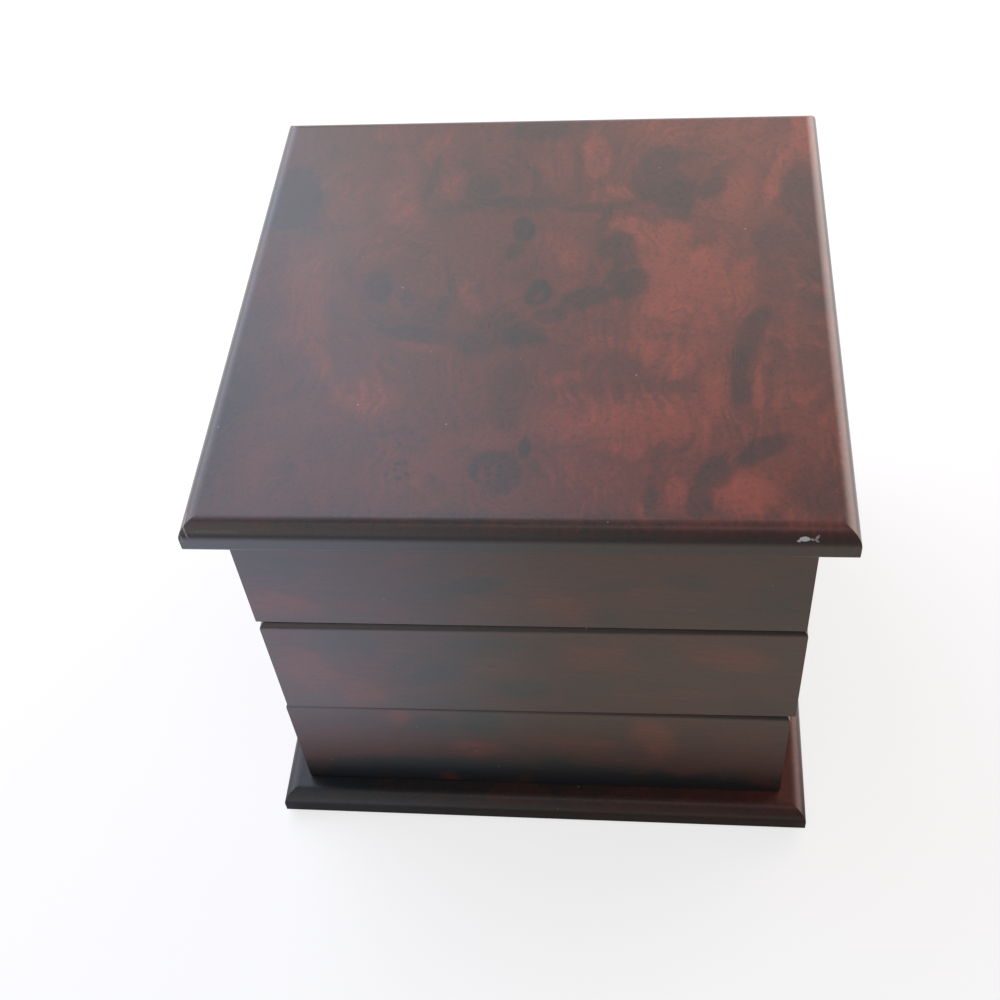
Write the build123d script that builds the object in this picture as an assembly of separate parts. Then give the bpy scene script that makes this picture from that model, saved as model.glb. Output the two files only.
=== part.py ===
"""Square jewelry box of three tiers that swing out about an upright rod in the back right corner.

The lowest tier is fixed to the base plate. The middle and the top tier turn about the rod, and the
lid plate is hinged to the back of the top tier, with a mirror on its underside. The origin is the
centre of the base's underside, +Z is up and the front faces -Y. All sizes are in millimetres.
"""

import os
from dataclasses import dataclass
from math import cos, radians

from build123d import *

# Tiers: outside size, walls, and the height of each tier's walls
case_size = 162.4
wall_thickness = 9.0
wall_round = 2.4
wall_ease = 0.6
lower_height = 48.0
middle_height = 46.9
top_height = 46.1

# Plates: the lid and the base overhang the tiers all round, and are rounded over alike
plate_overhang = 8.8
plate_thickness = 9.7
plate_round = 5.0
plate_ease = 1.3

# Felt: under the base, and under each swinging tier, where it fills the gap between tiers
base_felt_thickness = 1.2
base_felt_inset = 6.0
tier_felt_thickness = 0.6
tier_felt_inset = 2.5

# Floor panels, let into a rebate in the walls
floor_thickness = 3.0
floor_tongue = 3.0
panel_clearance = 0.1

# Corner blocks and the rod with its nuts and washers
block_size = 24.0
top_block_below_rim = 4.0
rod_diameter = 6.0
running_clearance = 0.05
rod_past_upper_nut = 1.5
rod_past_lower_nut = 0.2
nut_width = 10.0
nut_height = 5.0
nut_chamfer = 0.6
washer_diameter = 14.0
washer_thickness = 1.2
counterbore_diameter = 17.0
base_web = 3.0
top_web = 26.0
spacer_diameter = 15.0
spacer_room = 1.0
cap_thickness = 3.0
cap_clearance = 0.1

# How far the swinging tiers stand from the lowest one, as the box was left, in degrees
middle_set_off = 0.55
top_set_off = 0.30

# Lining and dividers
lining_thickness = 1.2
lining_below_rim = 2.5
pad_thickness = 2.0
divider_thickness = 3.0
divider_below_rim = 8.0
divider_clearance = 0.1
lower_divider_x = 18.0
middle_divider_x = -6.0
middle_divider_y = 4.0
top_divider_y = 12.0
top_front_divider_x = 2.0
top_back_divider_x = -10.0

# Padded ring rolls, lying side to side in the top tier's front left compartment
roll_count = 6
roll_height = 30.0
roll_gap = 1.0
roll_clearance = 0.3
roll_end_round = 2.5

# Lid hinges: brass butt hinges let into the rim and the lid
lid_gap = 0.5
hinge_from_side = 39.2
hinge_length = 30.0
middle_knuckle_length = 10.0
leaf_thickness = 0.9
leaf_width = 9.0
leaf_gap = 0.1
knuckle_diameter = 3.8
knuckle_gap = 0.3
knuckle_room = 0.3
pin_diameter = 1.8
pin_head_diameter = 3.0
pin_head_height = 0.6
pin_behind_case = 1.3
mortise_clearance = 0.05

# Wood screws
hinge_screw_spacing = 18.0
base_screw_from_side = 31.2
screw_clearance = 0.05
head_sink = 0.03
slot_depth_share = 0.5

# Under the lid
lid_lining_from_wall = 3.2
lid_lining_thickness = 2.2
lid_lining_chamfer = 0.8
mirror_border = 16.8
mirror_thickness = 1.8
mirror_clearance = 0.2
rest_diameter = 5.0

# How far a cutter reaches past the faces that it cuts
past = 1.0


@dataclass(frozen=True)
class WoodScrew:
    """Sizes of a countersunk wood screw."""

    diameter: float
    head: float
    length: float

    @property
    def head_height(self):
        """Height of the 90 degree head."""
        return (self.head - self.diameter) / 2


hinge_screw = WoodScrew(diameter=2.0, head=3.6, length=7.0)
base_screw = WoodScrew(diameter=3.0, head=6.0, length=26.0)

# Places that follow from the sizes
half_case = case_size / 2
half_plate = half_case + plate_overhang
inner_half = half_case - wall_thickness
lined_half = inner_half - lining_thickness
rebate_half = inner_half + floor_tongue
block_low = inner_half - block_size
pivot = inner_half - block_size / 2
lid_lining_half = inner_half - lid_lining_from_wall
mirror_half = lid_lining_half - mirror_border - mirror_clearance
bore_diameter = rod_diameter + 2 * running_clearance

base_top = base_felt_thickness + plate_thickness
lower_rim = base_top + lower_height
middle_bottom = lower_rim + tier_felt_thickness
middle_rim = middle_bottom + middle_height
top_bottom = middle_rim + tier_felt_thickness
top_rim = top_bottom + top_height
lid_bottom = top_rim + lid_gap
lid_top = lid_bottom + plate_thickness

lower_seat = base_felt_thickness + plate_thickness - base_web
upper_seat = top_bottom + top_web
top_block_top = top_rim - top_block_below_rim

hinge_from_centre = half_case - hinge_from_side
pin_y = half_case + pin_behind_case
pin_z = top_rim + lid_gap / 2
knuckle_radius = knuckle_diameter / 2
leaf_far_y = pin_y - leaf_width
leaf_near_y = pin_y - knuckle_radius - knuckle_room
case_leaf_bottom = pin_z - leaf_gap / 2 - leaf_thickness
lid_leaf_bottom = pin_z + leaf_gap / 2


def box_between(low, high):
    """Box from its lowest to its highest corner."""
    size = [b - a for a, b in zip(low, high)]
    centre = [(a + b) / 2 for a, b in zip(low, high)]
    return Pos(*centre) * Box(*size)


def post(x, y, z_low, z_high, diameter):
    """Upright cylinder between two heights."""
    return Pos(x, y, (z_low + z_high) / 2) * Cylinder(diameter / 2, z_high - z_low)


def cross_bar(x_low, x_high, diameter):
    """Cylinder along the hinge line between two places."""
    bar = Rot(0, 90, 0) * Cylinder(diameter / 2, x_high - x_low)
    return Pos((x_low + x_high) / 2, pin_y, pin_z) * bar


def turned(shape, angle):
    """Shape turned about the rod."""
    return Pos(pivot, pivot, 0) * Rot(0, 0, angle) * Pos(-pivot, -pivot, 0) * shape


def level_edges(shape, z):
    """Edges that lie level at a height."""
    return shape.edges().filter_by(Plane.XY).filter_by(lambda edge: abs(edge.center().Z - z) < 1e-6)


def plate(z_low):
    """Square plate whose top edge is rounded over and whose bottom edge is eased."""
    z_high = z_low + plate_thickness
    board = box_between((-half_plate, -half_plate, z_low), (half_plate, half_plate, z_high))
    board = fillet(level_edges(board, z_high), plate_round)
    return fillet(level_edges(board, z_low), plate_ease)


# Screws


def wood_screw(screw):
    """Screw that points up, with its slotted head's face at height 0."""
    head = Pos(0, 0, screw.head_height / 2) * Cone(screw.head / 2, screw.diameter / 2, screw.head_height)
    point_length = screw.diameter
    shank_top = screw.length - point_length
    shank = post(0, 0, screw.head_height / 2, shank_top, screw.diameter)
    point = Cone(screw.diameter / 2, screw.diameter / 8, point_length)
    tip = Pos(0, 0, shank_top + point_length / 2) * point
    slot_depth = screw.head_height * slot_depth_share
    slot = box_between(
        (-screw.head, -screw.diameter / 8, -slot_depth), (screw.head, screw.diameter / 8, slot_depth)
    )
    return head + shank + tip - slot


def screw_seat(screw):
    """Hole that the screw fits, with the mouth of its countersink at height 0."""
    radius = screw.diameter / 2 + screw_clearance
    depth = screw.head_height + head_sink + screw_clearance
    sink = Pos(0, 0, depth / 2) * Cone(radius + depth, radius, depth)
    return sink + post(0, 0, 0, screw.length + head_sink + screw_clearance, 2 * radius)


def driven_up(shape, x, y, z):
    """Shape of a screw or its seat, driven up into a face at height z."""
    return Pos(x, y, z) * shape


def driven_down(shape, x, y, z):
    """Shape of a screw or its seat, driven down into a face at height z."""
    return Pos(x, y, z) * Rot(180, 0, 0) * shape


def hinge_screw_places():
    """Centres of the hinge screws, the same in both leaves."""
    y = (leaf_far_y + leaf_near_y) / 2
    spread = hinge_screw_spacing / 2
    return [(side * hinge_from_centre + step, y) for side in (-1, 1) for step in (-spread, spread)]


def base_screw_places(sides=(-1, 1)):
    """Centres of the screws that hold the lowest tier's front (-1) and back (1) wall to the base."""
    y = (rebate_half + half_case) / 2
    x = half_case - base_screw_from_side
    return [(end * x, side * y) for side in sides for end in (-1, 1)]


def base_screws():
    """Screws up through the base plate."""
    body = wood_screw(base_screw)
    z = base_felt_thickness + head_sink
    return [driven_up(body, x, y, z) for x, y in base_screw_places()]


def base_screw_seats(sides=(-1, 1)):
    """Holes for the screws of the base, on the front side (-1), the back side (1) or both."""
    seat = screw_seat(base_screw)
    return [driven_up(seat, x, y, base_felt_thickness) for x, y in base_screw_places(sides)]


def case_hinge_screws():
    """Screws down through the case leaves."""
    body = wood_screw(hinge_screw)
    z = case_leaf_bottom + leaf_thickness - head_sink
    return [driven_down(body, x, y, z) for x, y in hinge_screw_places()]


def case_hinge_seats():
    """Holes for the screws of the case leaves."""
    z = case_leaf_bottom + leaf_thickness
    return [driven_down(screw_seat(hinge_screw), x, y, z) for x, y in hinge_screw_places()]


def lid_hinge_screws():
    """Screws up through the lid leaves."""
    body = wood_screw(hinge_screw)
    return [driven_up(body, x, y, lid_leaf_bottom + head_sink) for x, y in hinge_screw_places()]


def lid_hinge_seats():
    """Holes for the screws of the lid leaves."""
    return [driven_up(screw_seat(hinge_screw), x, y, lid_leaf_bottom) for x, y in hinge_screw_places()]


# Rod, nuts and washers


def rod_hole(z_low, z_high):
    """Cutter for the rod's bore, past both faces of a piece."""
    return post(pivot, pivot, z_low - past, z_high + past, bore_diameter)


def pivot_rod():
    """Steel rod through the three tiers, its ends chamfered."""
    z_low = lower_seat - washer_thickness - nut_height - rod_past_lower_nut
    z_high = upper_seat + washer_thickness + nut_height + rod_past_upper_nut
    rod = post(pivot, pivot, z_low, z_high, rod_diameter)
    return chamfer(rod.edges().filter_by(GeomType.CIRCLE), rod_diameter / 12)


def washer(z_low, thickness, diameter):
    """Flat washer on the rod."""
    return post(pivot, pivot, z_low, z_low + thickness, diameter) - rod_hole(z_low, z_low + thickness)


def hex_nut(z_low):
    """Hexagon nut on the rod, with its corners chamfered above and below."""
    hexagon = RegularPolygon(nut_width / 2, 6, major_radius=False)
    nut = extrude(Pos(pivot, pivot, z_low) * hexagon, nut_height)
    corner = nut_width / 2 / cos(radians(30))
    envelope = post(pivot, pivot, z_low, z_low + nut_height, 2 * corner)
    nut = nut & chamfer(envelope.edges().filter_by(GeomType.CIRCLE), nut_chamfer)
    return nut - rod_hole(z_low, z_low + nut_height)


def pivot_cap():
    """Round cap over the upper nut, let into the mouth of the block's counterbore."""
    diameter = counterbore_diameter - 2 * cap_clearance
    cap = post(pivot, pivot, top_block_top - cap_thickness, top_block_top, diameter)
    return fillet(level_edges(cap, top_block_top), cap_thickness / 5)


# Plates


def base_plate():
    """Base plate with the seat for the lower nut and the holes for the screws."""
    board = plate(base_felt_thickness)
    board -= post(pivot, pivot, base_felt_thickness - past, lower_seat, counterbore_diameter)
    board -= rod_hole(base_felt_thickness, base_top)
    return board - base_screw_seats()


def base_felt():
    """Felt sheet that the box stands on."""
    half = half_plate - base_felt_inset
    return box_between((-half, -half, 0), (half, half, base_felt_thickness))


def lid_plate():
    """Lid plate with the mortises of its hinge leaves."""
    board = plate(lid_bottom)
    for side in (-1, 1):
        x = side * hinge_from_centre
        board -= leaf_mortise(x, lid_bottom - past, lid_leaf_bottom + leaf_thickness)
        board -= knuckle_mortise(x, lid_bottom - past, pin_z + knuckle_radius + knuckle_room)
    return board - lid_hinge_seats()


def lid_lining():
    """Velvet-covered board under the lid, with a window for the mirror."""
    half = lid_lining_half
    low = lid_bottom - lid_lining_thickness
    board = box_between((-half, -half, low), (half, half, lid_bottom))
    board = chamfer(level_edges(board, low), lid_lining_chamfer)
    window = half - mirror_border
    return board - box_between((-window, -window, low - past), (window, window, lid_bottom + past))


def mirror():
    """Mirror in the window of the lid's lining."""
    half = mirror_half
    return box_between((-half, -half, lid_bottom - mirror_thickness), (half, half, lid_bottom))


def lid_rests():
    """Felt dots under the lid's front corners, which keep it level on the rim."""
    reach = inner_half + (wall_thickness - wall_round) / 2
    return [post(side * reach, -reach, top_rim, lid_bottom, rest_diameter) for side in (-1, 1)]


# Tiers


def wall_section(z_low, height):
    """Upright section of the front wall: rounded above, eased below, rebated for the floor panel."""
    section = Pos(-half_case + wall_thickness / 2, z_low + height / 2) * Rectangle(wall_thickness, height)
    outer_top = section.vertices().group_by(Axis.X)[0].sort_by(Axis.Y)[-1]
    section = fillet(outer_top, wall_round)
    outer_bottom = section.vertices().group_by(Axis.X)[0].sort_by(Axis.Y)[0]
    section = fillet(outer_bottom, wall_ease)
    rebate = Pos(-rebate_half + floor_tongue, z_low) * Rectangle(2 * floor_tongue, 2 * floor_thickness)
    return section - rebate


def mitred_wall(z_low, height):
    """Front wall of a tier, cut at 45 degrees at both ends."""
    reach = half_case + past
    run = extrude(Plane.YZ * wall_section(z_low, height), reach, both=True)
    outline = Polyline((0, 0), (-reach, -reach), (reach, -reach), close=True)
    return run & extrude(Pos(0, 0, z_low - past) * make_face(outline), height + 2 * past)


def tier_walls(tier, z_low, height, cutters):
    """Walls of a tier by name, with what is cut out of the wall on each side."""
    front = mitred_wall(z_low, height)
    walls = {}
    for quarter_turns, side in enumerate(("front", "right", "back", "left")):
        wall = Rot(0, 0, 90 * quarter_turns) * front
        for cutter in cutters.get(side, ()):
            wall -= cutter
        walls[f"{tier}_{side}_wall"] = wall
    return walls


def floor_panel(z_low):
    """Floor panel of a tier, with the hole for the rod."""
    half = rebate_half - panel_clearance
    z_high = z_low + floor_thickness
    return box_between((-half, -half, z_low), (half, half, z_high)) - rod_hole(z_low, z_high)


def corner_block(z_low, z_high):
    """Hardwood block in the back right corner, bored for the rod."""
    block = box_between((block_low, block_low, z_low), (inner_half, inner_half, z_high))
    return block - rod_hole(z_low, z_high)


def top_corner_block():
    """Block of the top tier, counterbored for the upper nut and its cap."""
    block = corner_block(top_bottom + floor_thickness, top_block_top)
    return block - post(pivot, pivot, upper_seat, top_block_top + past, counterbore_diameter)


def lining(z_low, z_rim):
    """Velvet-covered card over the floor, along the walls and round the corner block."""
    z_floor = z_low + floor_thickness
    z_top = z_rim - lining_below_rim
    shell = box_between((-inner_half, -inner_half, z_floor), (inner_half, inner_half, z_top))
    beyond = inner_half + past
    shell -= box_between((block_low, block_low, z_floor - past), (beyond, beyond, z_top + past))
    low = (-lined_half, -lined_half, z_floor + pad_thickness)
    hollow = box_between(low, (lined_half, lined_half, z_top + past))
    casing_low = block_low - lining_thickness
    hollow -= box_between((casing_low, casing_low, z_floor), (beyond, beyond, z_top + 2 * past))
    return shell - hollow


def tier_felt(z_high):
    """Felt sheet under a swinging tier, open round the spacer on the rod."""
    half = half_case - tier_felt_inset
    z_low = z_high - tier_felt_thickness
    hole = post(pivot, pivot, z_low - past, z_high + past, spacer_diameter + 2 * spacer_room)
    return box_between((-half, -half, z_low), (half, half, z_high)) - hole


def divider(x_span, y_span, z_low, z_rim, below_rim=divider_below_rim):
    """Velvet-covered divider that stands on the lining's floor."""
    z_foot = z_low + floor_thickness + pad_thickness
    low = (x_span[0], y_span[0], z_foot)
    return box_between(low, (x_span[1], y_span[1], z_rim - below_rim))


def across(centre):
    """Span of a divider's thickness about a place."""
    return (centre - divider_thickness / 2, centre + divider_thickness / 2)


def between_linings():
    """Span of a divider that runs from wall to wall."""
    return (-lined_half + divider_clearance, lined_half - divider_clearance)


def middle_dividers():
    """Two dividers of the middle tier, halved over each other where they cross."""
    along = divider(between_linings(), across(middle_divider_y), middle_bottom, middle_rim)
    cross = divider(across(middle_divider_x), between_linings(), middle_bottom, middle_rim)
    z_half = along.center().Z
    reach = divider_thickness / 2 + divider_clearance
    x_low, x_high = middle_divider_x - reach, middle_divider_x + reach
    y_low, y_high = middle_divider_y - reach, middle_divider_y + reach
    slot_foot = z_half - divider_clearance / 2
    slot_head = z_half + divider_clearance / 2
    along -= box_between((x_low, y_low, slot_foot), (x_high, y_high, middle_rim))
    cross -= box_between((x_low, y_low, middle_bottom), (x_high, y_high, slot_head))
    return {"middle_long_divider": along, "middle_cross_divider": cross}


def top_dividers():
    """Dividers of the top tier: one from side to side and one on each side of it."""
    low, high = between_linings()
    y_low, y_high = across(top_divider_y)
    front = (low, y_low - divider_clearance)
    back = (y_high + divider_clearance, high)
    return {
        "top_long_divider": divider((low, high), (y_low, y_high), top_bottom, top_rim),
        "top_front_divider": divider(across(top_front_divider_x), front, top_bottom, top_rim),
        "top_back_divider": divider(across(top_back_divider_x), back, top_bottom, top_rim),
    }


def ring_rolls():
    """Padded rolls that grip rings between them, each with a crowned top and rounded ends."""
    x_low = -lined_half + roll_clearance
    x_high = across(top_front_divider_x)[0] - roll_clearance
    y_low = -lined_half + roll_clearance
    y_high = across(top_divider_y)[0] - roll_clearance
    width = (y_high - y_low - (roll_count - 1) * roll_gap) / roll_count
    z_foot = top_bottom + floor_thickness + pad_thickness
    rolls = {}
    for number in range(roll_count):
        y = y_low + width / 2 + number * (width + roll_gap)
        rolls[f"ring_roll_{number + 1}"] = ring_roll(x_low, x_high, y, width, z_foot)
    return rolls


def ring_roll(x_low, x_high, y, width, z_foot):
    """One padded roll: an upright slab with a half-round crown, its ends rounded."""
    shoulder = z_foot + roll_height - width / 2
    roll = box_between((x_low, y - width / 2, z_foot), (x_high, y + width / 2, shoulder))
    crown = Rot(0, 90, 0) * Cylinder(width / 2, x_high - x_low)
    roll += Pos((x_low + x_high) / 2, y, shoulder) * crown
    ends = roll.faces().filter_by(Axis.X).edges()
    return fillet(ends.filter_by(lambda edge: edge.center().Z > z_foot + 1e-6), roll_end_round)


# Hinges


def knuckle_spans(middle):
    """Ends of the middle knuckle, or of the two outer ones, from the hinge's own middle."""
    inner = middle_knuckle_length / 2
    outer = hinge_length / 2
    if middle:
        return [(-inner + knuckle_gap / 2, inner - knuckle_gap / 2)]
    return [(-outer, -inner - knuckle_gap / 2), (inner + knuckle_gap / 2, outer)]


def hinge_leaf(x, z_low, middle, seats):
    """One leaf of a hinge: the lid's leaf has the middle knuckle, the case leaf the outer two."""
    z_high = z_low + leaf_thickness
    half = hinge_length / 2
    leaf = box_between((x - half, leaf_far_y, z_low), (x + half, leaf_near_y, z_high))
    for left, right in knuckle_spans(middle):
        leaf += box_between((x + left, leaf_near_y, z_low), (x + right, pin_y, z_high))
        leaf += cross_bar(x + left, x + right, knuckle_diameter)
    leaf -= cross_bar(x - half - past, x + half + past, pin_diameter + 2 * running_clearance)
    return leaf - seats


def hinge_pin(x):
    """Pin of one hinge, with a head at each end."""
    half = hinge_length / 2
    pin = cross_bar(x - half, x + half, pin_diameter)
    pin += cross_bar(x - half - pin_head_height, x - half, pin_head_diameter)
    return pin + cross_bar(x + half, x + half + pin_head_height, pin_head_diameter)


def leaf_mortise(x, z_low, z_high):
    """Pocket for the flat of a leaf."""
    half = hinge_length / 2 + mortise_clearance
    return box_between((x - half, leaf_far_y - mortise_clearance, z_low), (x + half, pin_y, z_high))


def knuckle_mortise(x, z_low, z_high):
    """Pocket for the barrel of a hinge, the same on both sides of the pin."""
    half = hinge_length / 2 + pin_head_height + knuckle_room
    reach = knuckle_radius + knuckle_room
    return box_between((x - half, pin_y - reach, z_low), (x + half, pin_y + reach, z_high))


def rim_cutters():
    """What the hinges take out of the top tier's rim."""
    cutters = case_hinge_seats()
    for side in (-1, 1):
        x = side * hinge_from_centre
        cutters.append(leaf_mortise(x, case_leaf_bottom, top_rim + past))
        cutters.append(knuckle_mortise(x, pin_z - knuckle_radius - knuckle_room, top_rim + past))
    return cutters


# Bodies


def base_body():
    """Base plate, lowest tier and rod."""
    pieces = {"base_felt": base_felt(), "base_plate": base_plate()}
    pieces["base_screws"] = Compound(base_screws())
    cutters = {"front": base_screw_seats([-1]), "back": base_screw_seats([1])}
    pieces |= tier_walls("lower", base_top, lower_height, cutters)
    pieces["lower_floor"] = floor_panel(base_top)
    pieces["lower_pivot_block"] = corner_block(base_top + floor_thickness, lower_rim)
    pieces["lower_lining"] = lining(base_top, lower_rim)
    pieces["lower_divider"] = divider(across(lower_divider_x), between_linings(), base_top, lower_rim)
    pieces["lower_spacer"] = washer(lower_rim, tier_felt_thickness, spacer_diameter)
    pieces["pivot_rod"] = pivot_rod()
    pieces["rod_lower_washer"] = washer(lower_seat - washer_thickness, washer_thickness, washer_diameter)
    pieces["rod_lower_nut"] = hex_nut(lower_seat - washer_thickness - nut_height)
    pieces["rod_upper_washer"] = washer(upper_seat, washer_thickness, washer_diameter)
    pieces["rod_upper_nut"] = hex_nut(upper_seat + washer_thickness)
    return pieces


def middle_body():
    """Middle tier."""
    pieces = tier_walls("middle", middle_bottom, middle_height, {})
    pieces["middle_floor"] = floor_panel(middle_bottom)
    pieces["middle_pivot_block"] = corner_block(middle_bottom + floor_thickness, middle_rim)
    pieces["middle_lining"] = lining(middle_bottom, middle_rim)
    pieces |= middle_dividers()
    pieces["middle_felt"] = tier_felt(middle_bottom)
    pieces["middle_spacer"] = washer(middle_rim, tier_felt_thickness, spacer_diameter)
    return pieces


def top_body():
    """Top tier with the case side of the lid's hinges."""
    pieces = tier_walls("top", top_bottom, top_height, {"back": rim_cutters()})
    pieces["top_floor"] = floor_panel(top_bottom)
    pieces["top_pivot_block"] = top_corner_block()
    pieces["pivot_cap"] = pivot_cap()
    pieces["top_lining"] = lining(top_bottom, top_rim)
    pieces |= top_dividers()
    pieces |= ring_rolls()
    pieces["top_felt"] = tier_felt(top_bottom)
    seats = case_hinge_seats()
    pieces["left_hinge_case_leaf"] = hinge_leaf(-hinge_from_centre, case_leaf_bottom, False, seats)
    pieces["right_hinge_case_leaf"] = hinge_leaf(hinge_from_centre, case_leaf_bottom, False, seats)
    pieces["hinge_pins"] = Compound([hinge_pin(-hinge_from_centre), hinge_pin(hinge_from_centre)])
    pieces["case_hinge_screws"] = Compound(case_hinge_screws())
    return pieces


def lid_body():
    """Lid plate with its mirror, lining, rests and the lid side of the hinges."""
    seats = lid_hinge_seats()
    return {
        "lid_plate": lid_plate(),
        "lid_lining": lid_lining(),
        "mirror": mirror(),
        "lid_rests": Compound(lid_rests()),
        "left_hinge_lid_leaf": hinge_leaf(-hinge_from_centre, lid_leaf_bottom, True, seats),
        "right_hinge_lid_leaf": hinge_leaf(hinge_from_centre, lid_leaf_bottom, True, seats),
        "lid_hinge_screws": Compound(lid_hinge_screws()),
    }


set_offs = [
    (base_body(), 0.0),
    (middle_body(), middle_set_off),
    (top_body(), top_set_off),
    (lid_body(), top_set_off),
]

os.makedirs("parts", exist_ok=True)
for pieces, set_off in set_offs:
    for name, shape in pieces.items():
        export_step(turned(shape, set_off), f"parts/{name}.step")
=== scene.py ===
"""Looks of a square jewelry box: burl veneer under satin lacquer, velvet, felt, brass and steel.

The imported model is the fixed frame. Its rigid nodes keep their shape and get their finishes here,
and its soft nodes are replaced by modelled pieces. Lengths are in metres, and in millimetres
where a name or a docstring says so, as for the figure of the veneer.
"""

import logging
import math
from dataclasses import dataclass
from enum import Enum
from typing import Iterable, Mapping, Optional, Sequence, Union

import bmesh
import bpy
from mathutils import Matrix, Vector

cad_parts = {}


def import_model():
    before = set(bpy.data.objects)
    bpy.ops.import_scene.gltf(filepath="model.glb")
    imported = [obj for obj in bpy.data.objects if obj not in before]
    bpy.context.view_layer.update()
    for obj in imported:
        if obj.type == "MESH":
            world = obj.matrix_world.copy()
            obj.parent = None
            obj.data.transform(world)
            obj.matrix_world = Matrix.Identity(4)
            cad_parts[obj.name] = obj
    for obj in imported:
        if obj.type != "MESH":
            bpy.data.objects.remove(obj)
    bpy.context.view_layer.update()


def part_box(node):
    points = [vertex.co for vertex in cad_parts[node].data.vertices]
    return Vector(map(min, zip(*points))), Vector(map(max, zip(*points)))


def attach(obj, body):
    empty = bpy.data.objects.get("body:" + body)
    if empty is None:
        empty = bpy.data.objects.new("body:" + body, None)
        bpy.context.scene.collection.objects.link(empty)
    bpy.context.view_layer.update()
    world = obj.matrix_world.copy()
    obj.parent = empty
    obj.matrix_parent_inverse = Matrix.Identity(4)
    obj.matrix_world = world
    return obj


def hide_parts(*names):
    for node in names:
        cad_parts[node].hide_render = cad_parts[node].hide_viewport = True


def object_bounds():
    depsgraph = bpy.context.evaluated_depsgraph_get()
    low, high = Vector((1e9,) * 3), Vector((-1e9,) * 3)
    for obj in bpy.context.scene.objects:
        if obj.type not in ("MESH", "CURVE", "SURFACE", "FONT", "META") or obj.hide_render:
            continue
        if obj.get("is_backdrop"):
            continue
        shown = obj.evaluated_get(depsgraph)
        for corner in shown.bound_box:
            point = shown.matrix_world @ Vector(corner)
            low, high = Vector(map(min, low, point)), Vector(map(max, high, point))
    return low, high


LOG = logging.getLogger("jewelry_box")
MM = 0.001

Colour = tuple[float, float, float]


# Shader maths


class Signal:
    """One output of a shader's node, with the arithmetic that the finishes are written in."""

    def __init__(self, shader: "Shader", socket: Optional[bpy.types.NodeSocket]) -> None:
        """Wraps a shader's output socket, or None for a node that has no output."""
        self.shader = shader
        self.socket = socket

    def __add__(self, other: "Value") -> "Signal":
        """Sum."""
        return self.shader.maths("ADD", self, other)

    def __radd__(self, other: "Value") -> "Signal":
        """Sum with a number on the left."""
        return self.shader.maths("ADD", other, self)

    def __sub__(self, other: "Value") -> "Signal":
        """Difference."""
        return self.shader.maths("SUBTRACT", self, other)

    def __rsub__(self, other: "Value") -> "Signal":
        """Difference with a number on the left."""
        return self.shader.maths("SUBTRACT", other, self)

    def __mul__(self, other: "Value") -> "Signal":
        """Product."""
        return self.shader.maths("MULTIPLY", self, other)

    def __rmul__(self, other: "Value") -> "Signal":
        """Product with a number on the left."""
        return self.shader.maths("MULTIPLY", other, self)


Value = Union[Signal, float, Sequence[float]]


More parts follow.
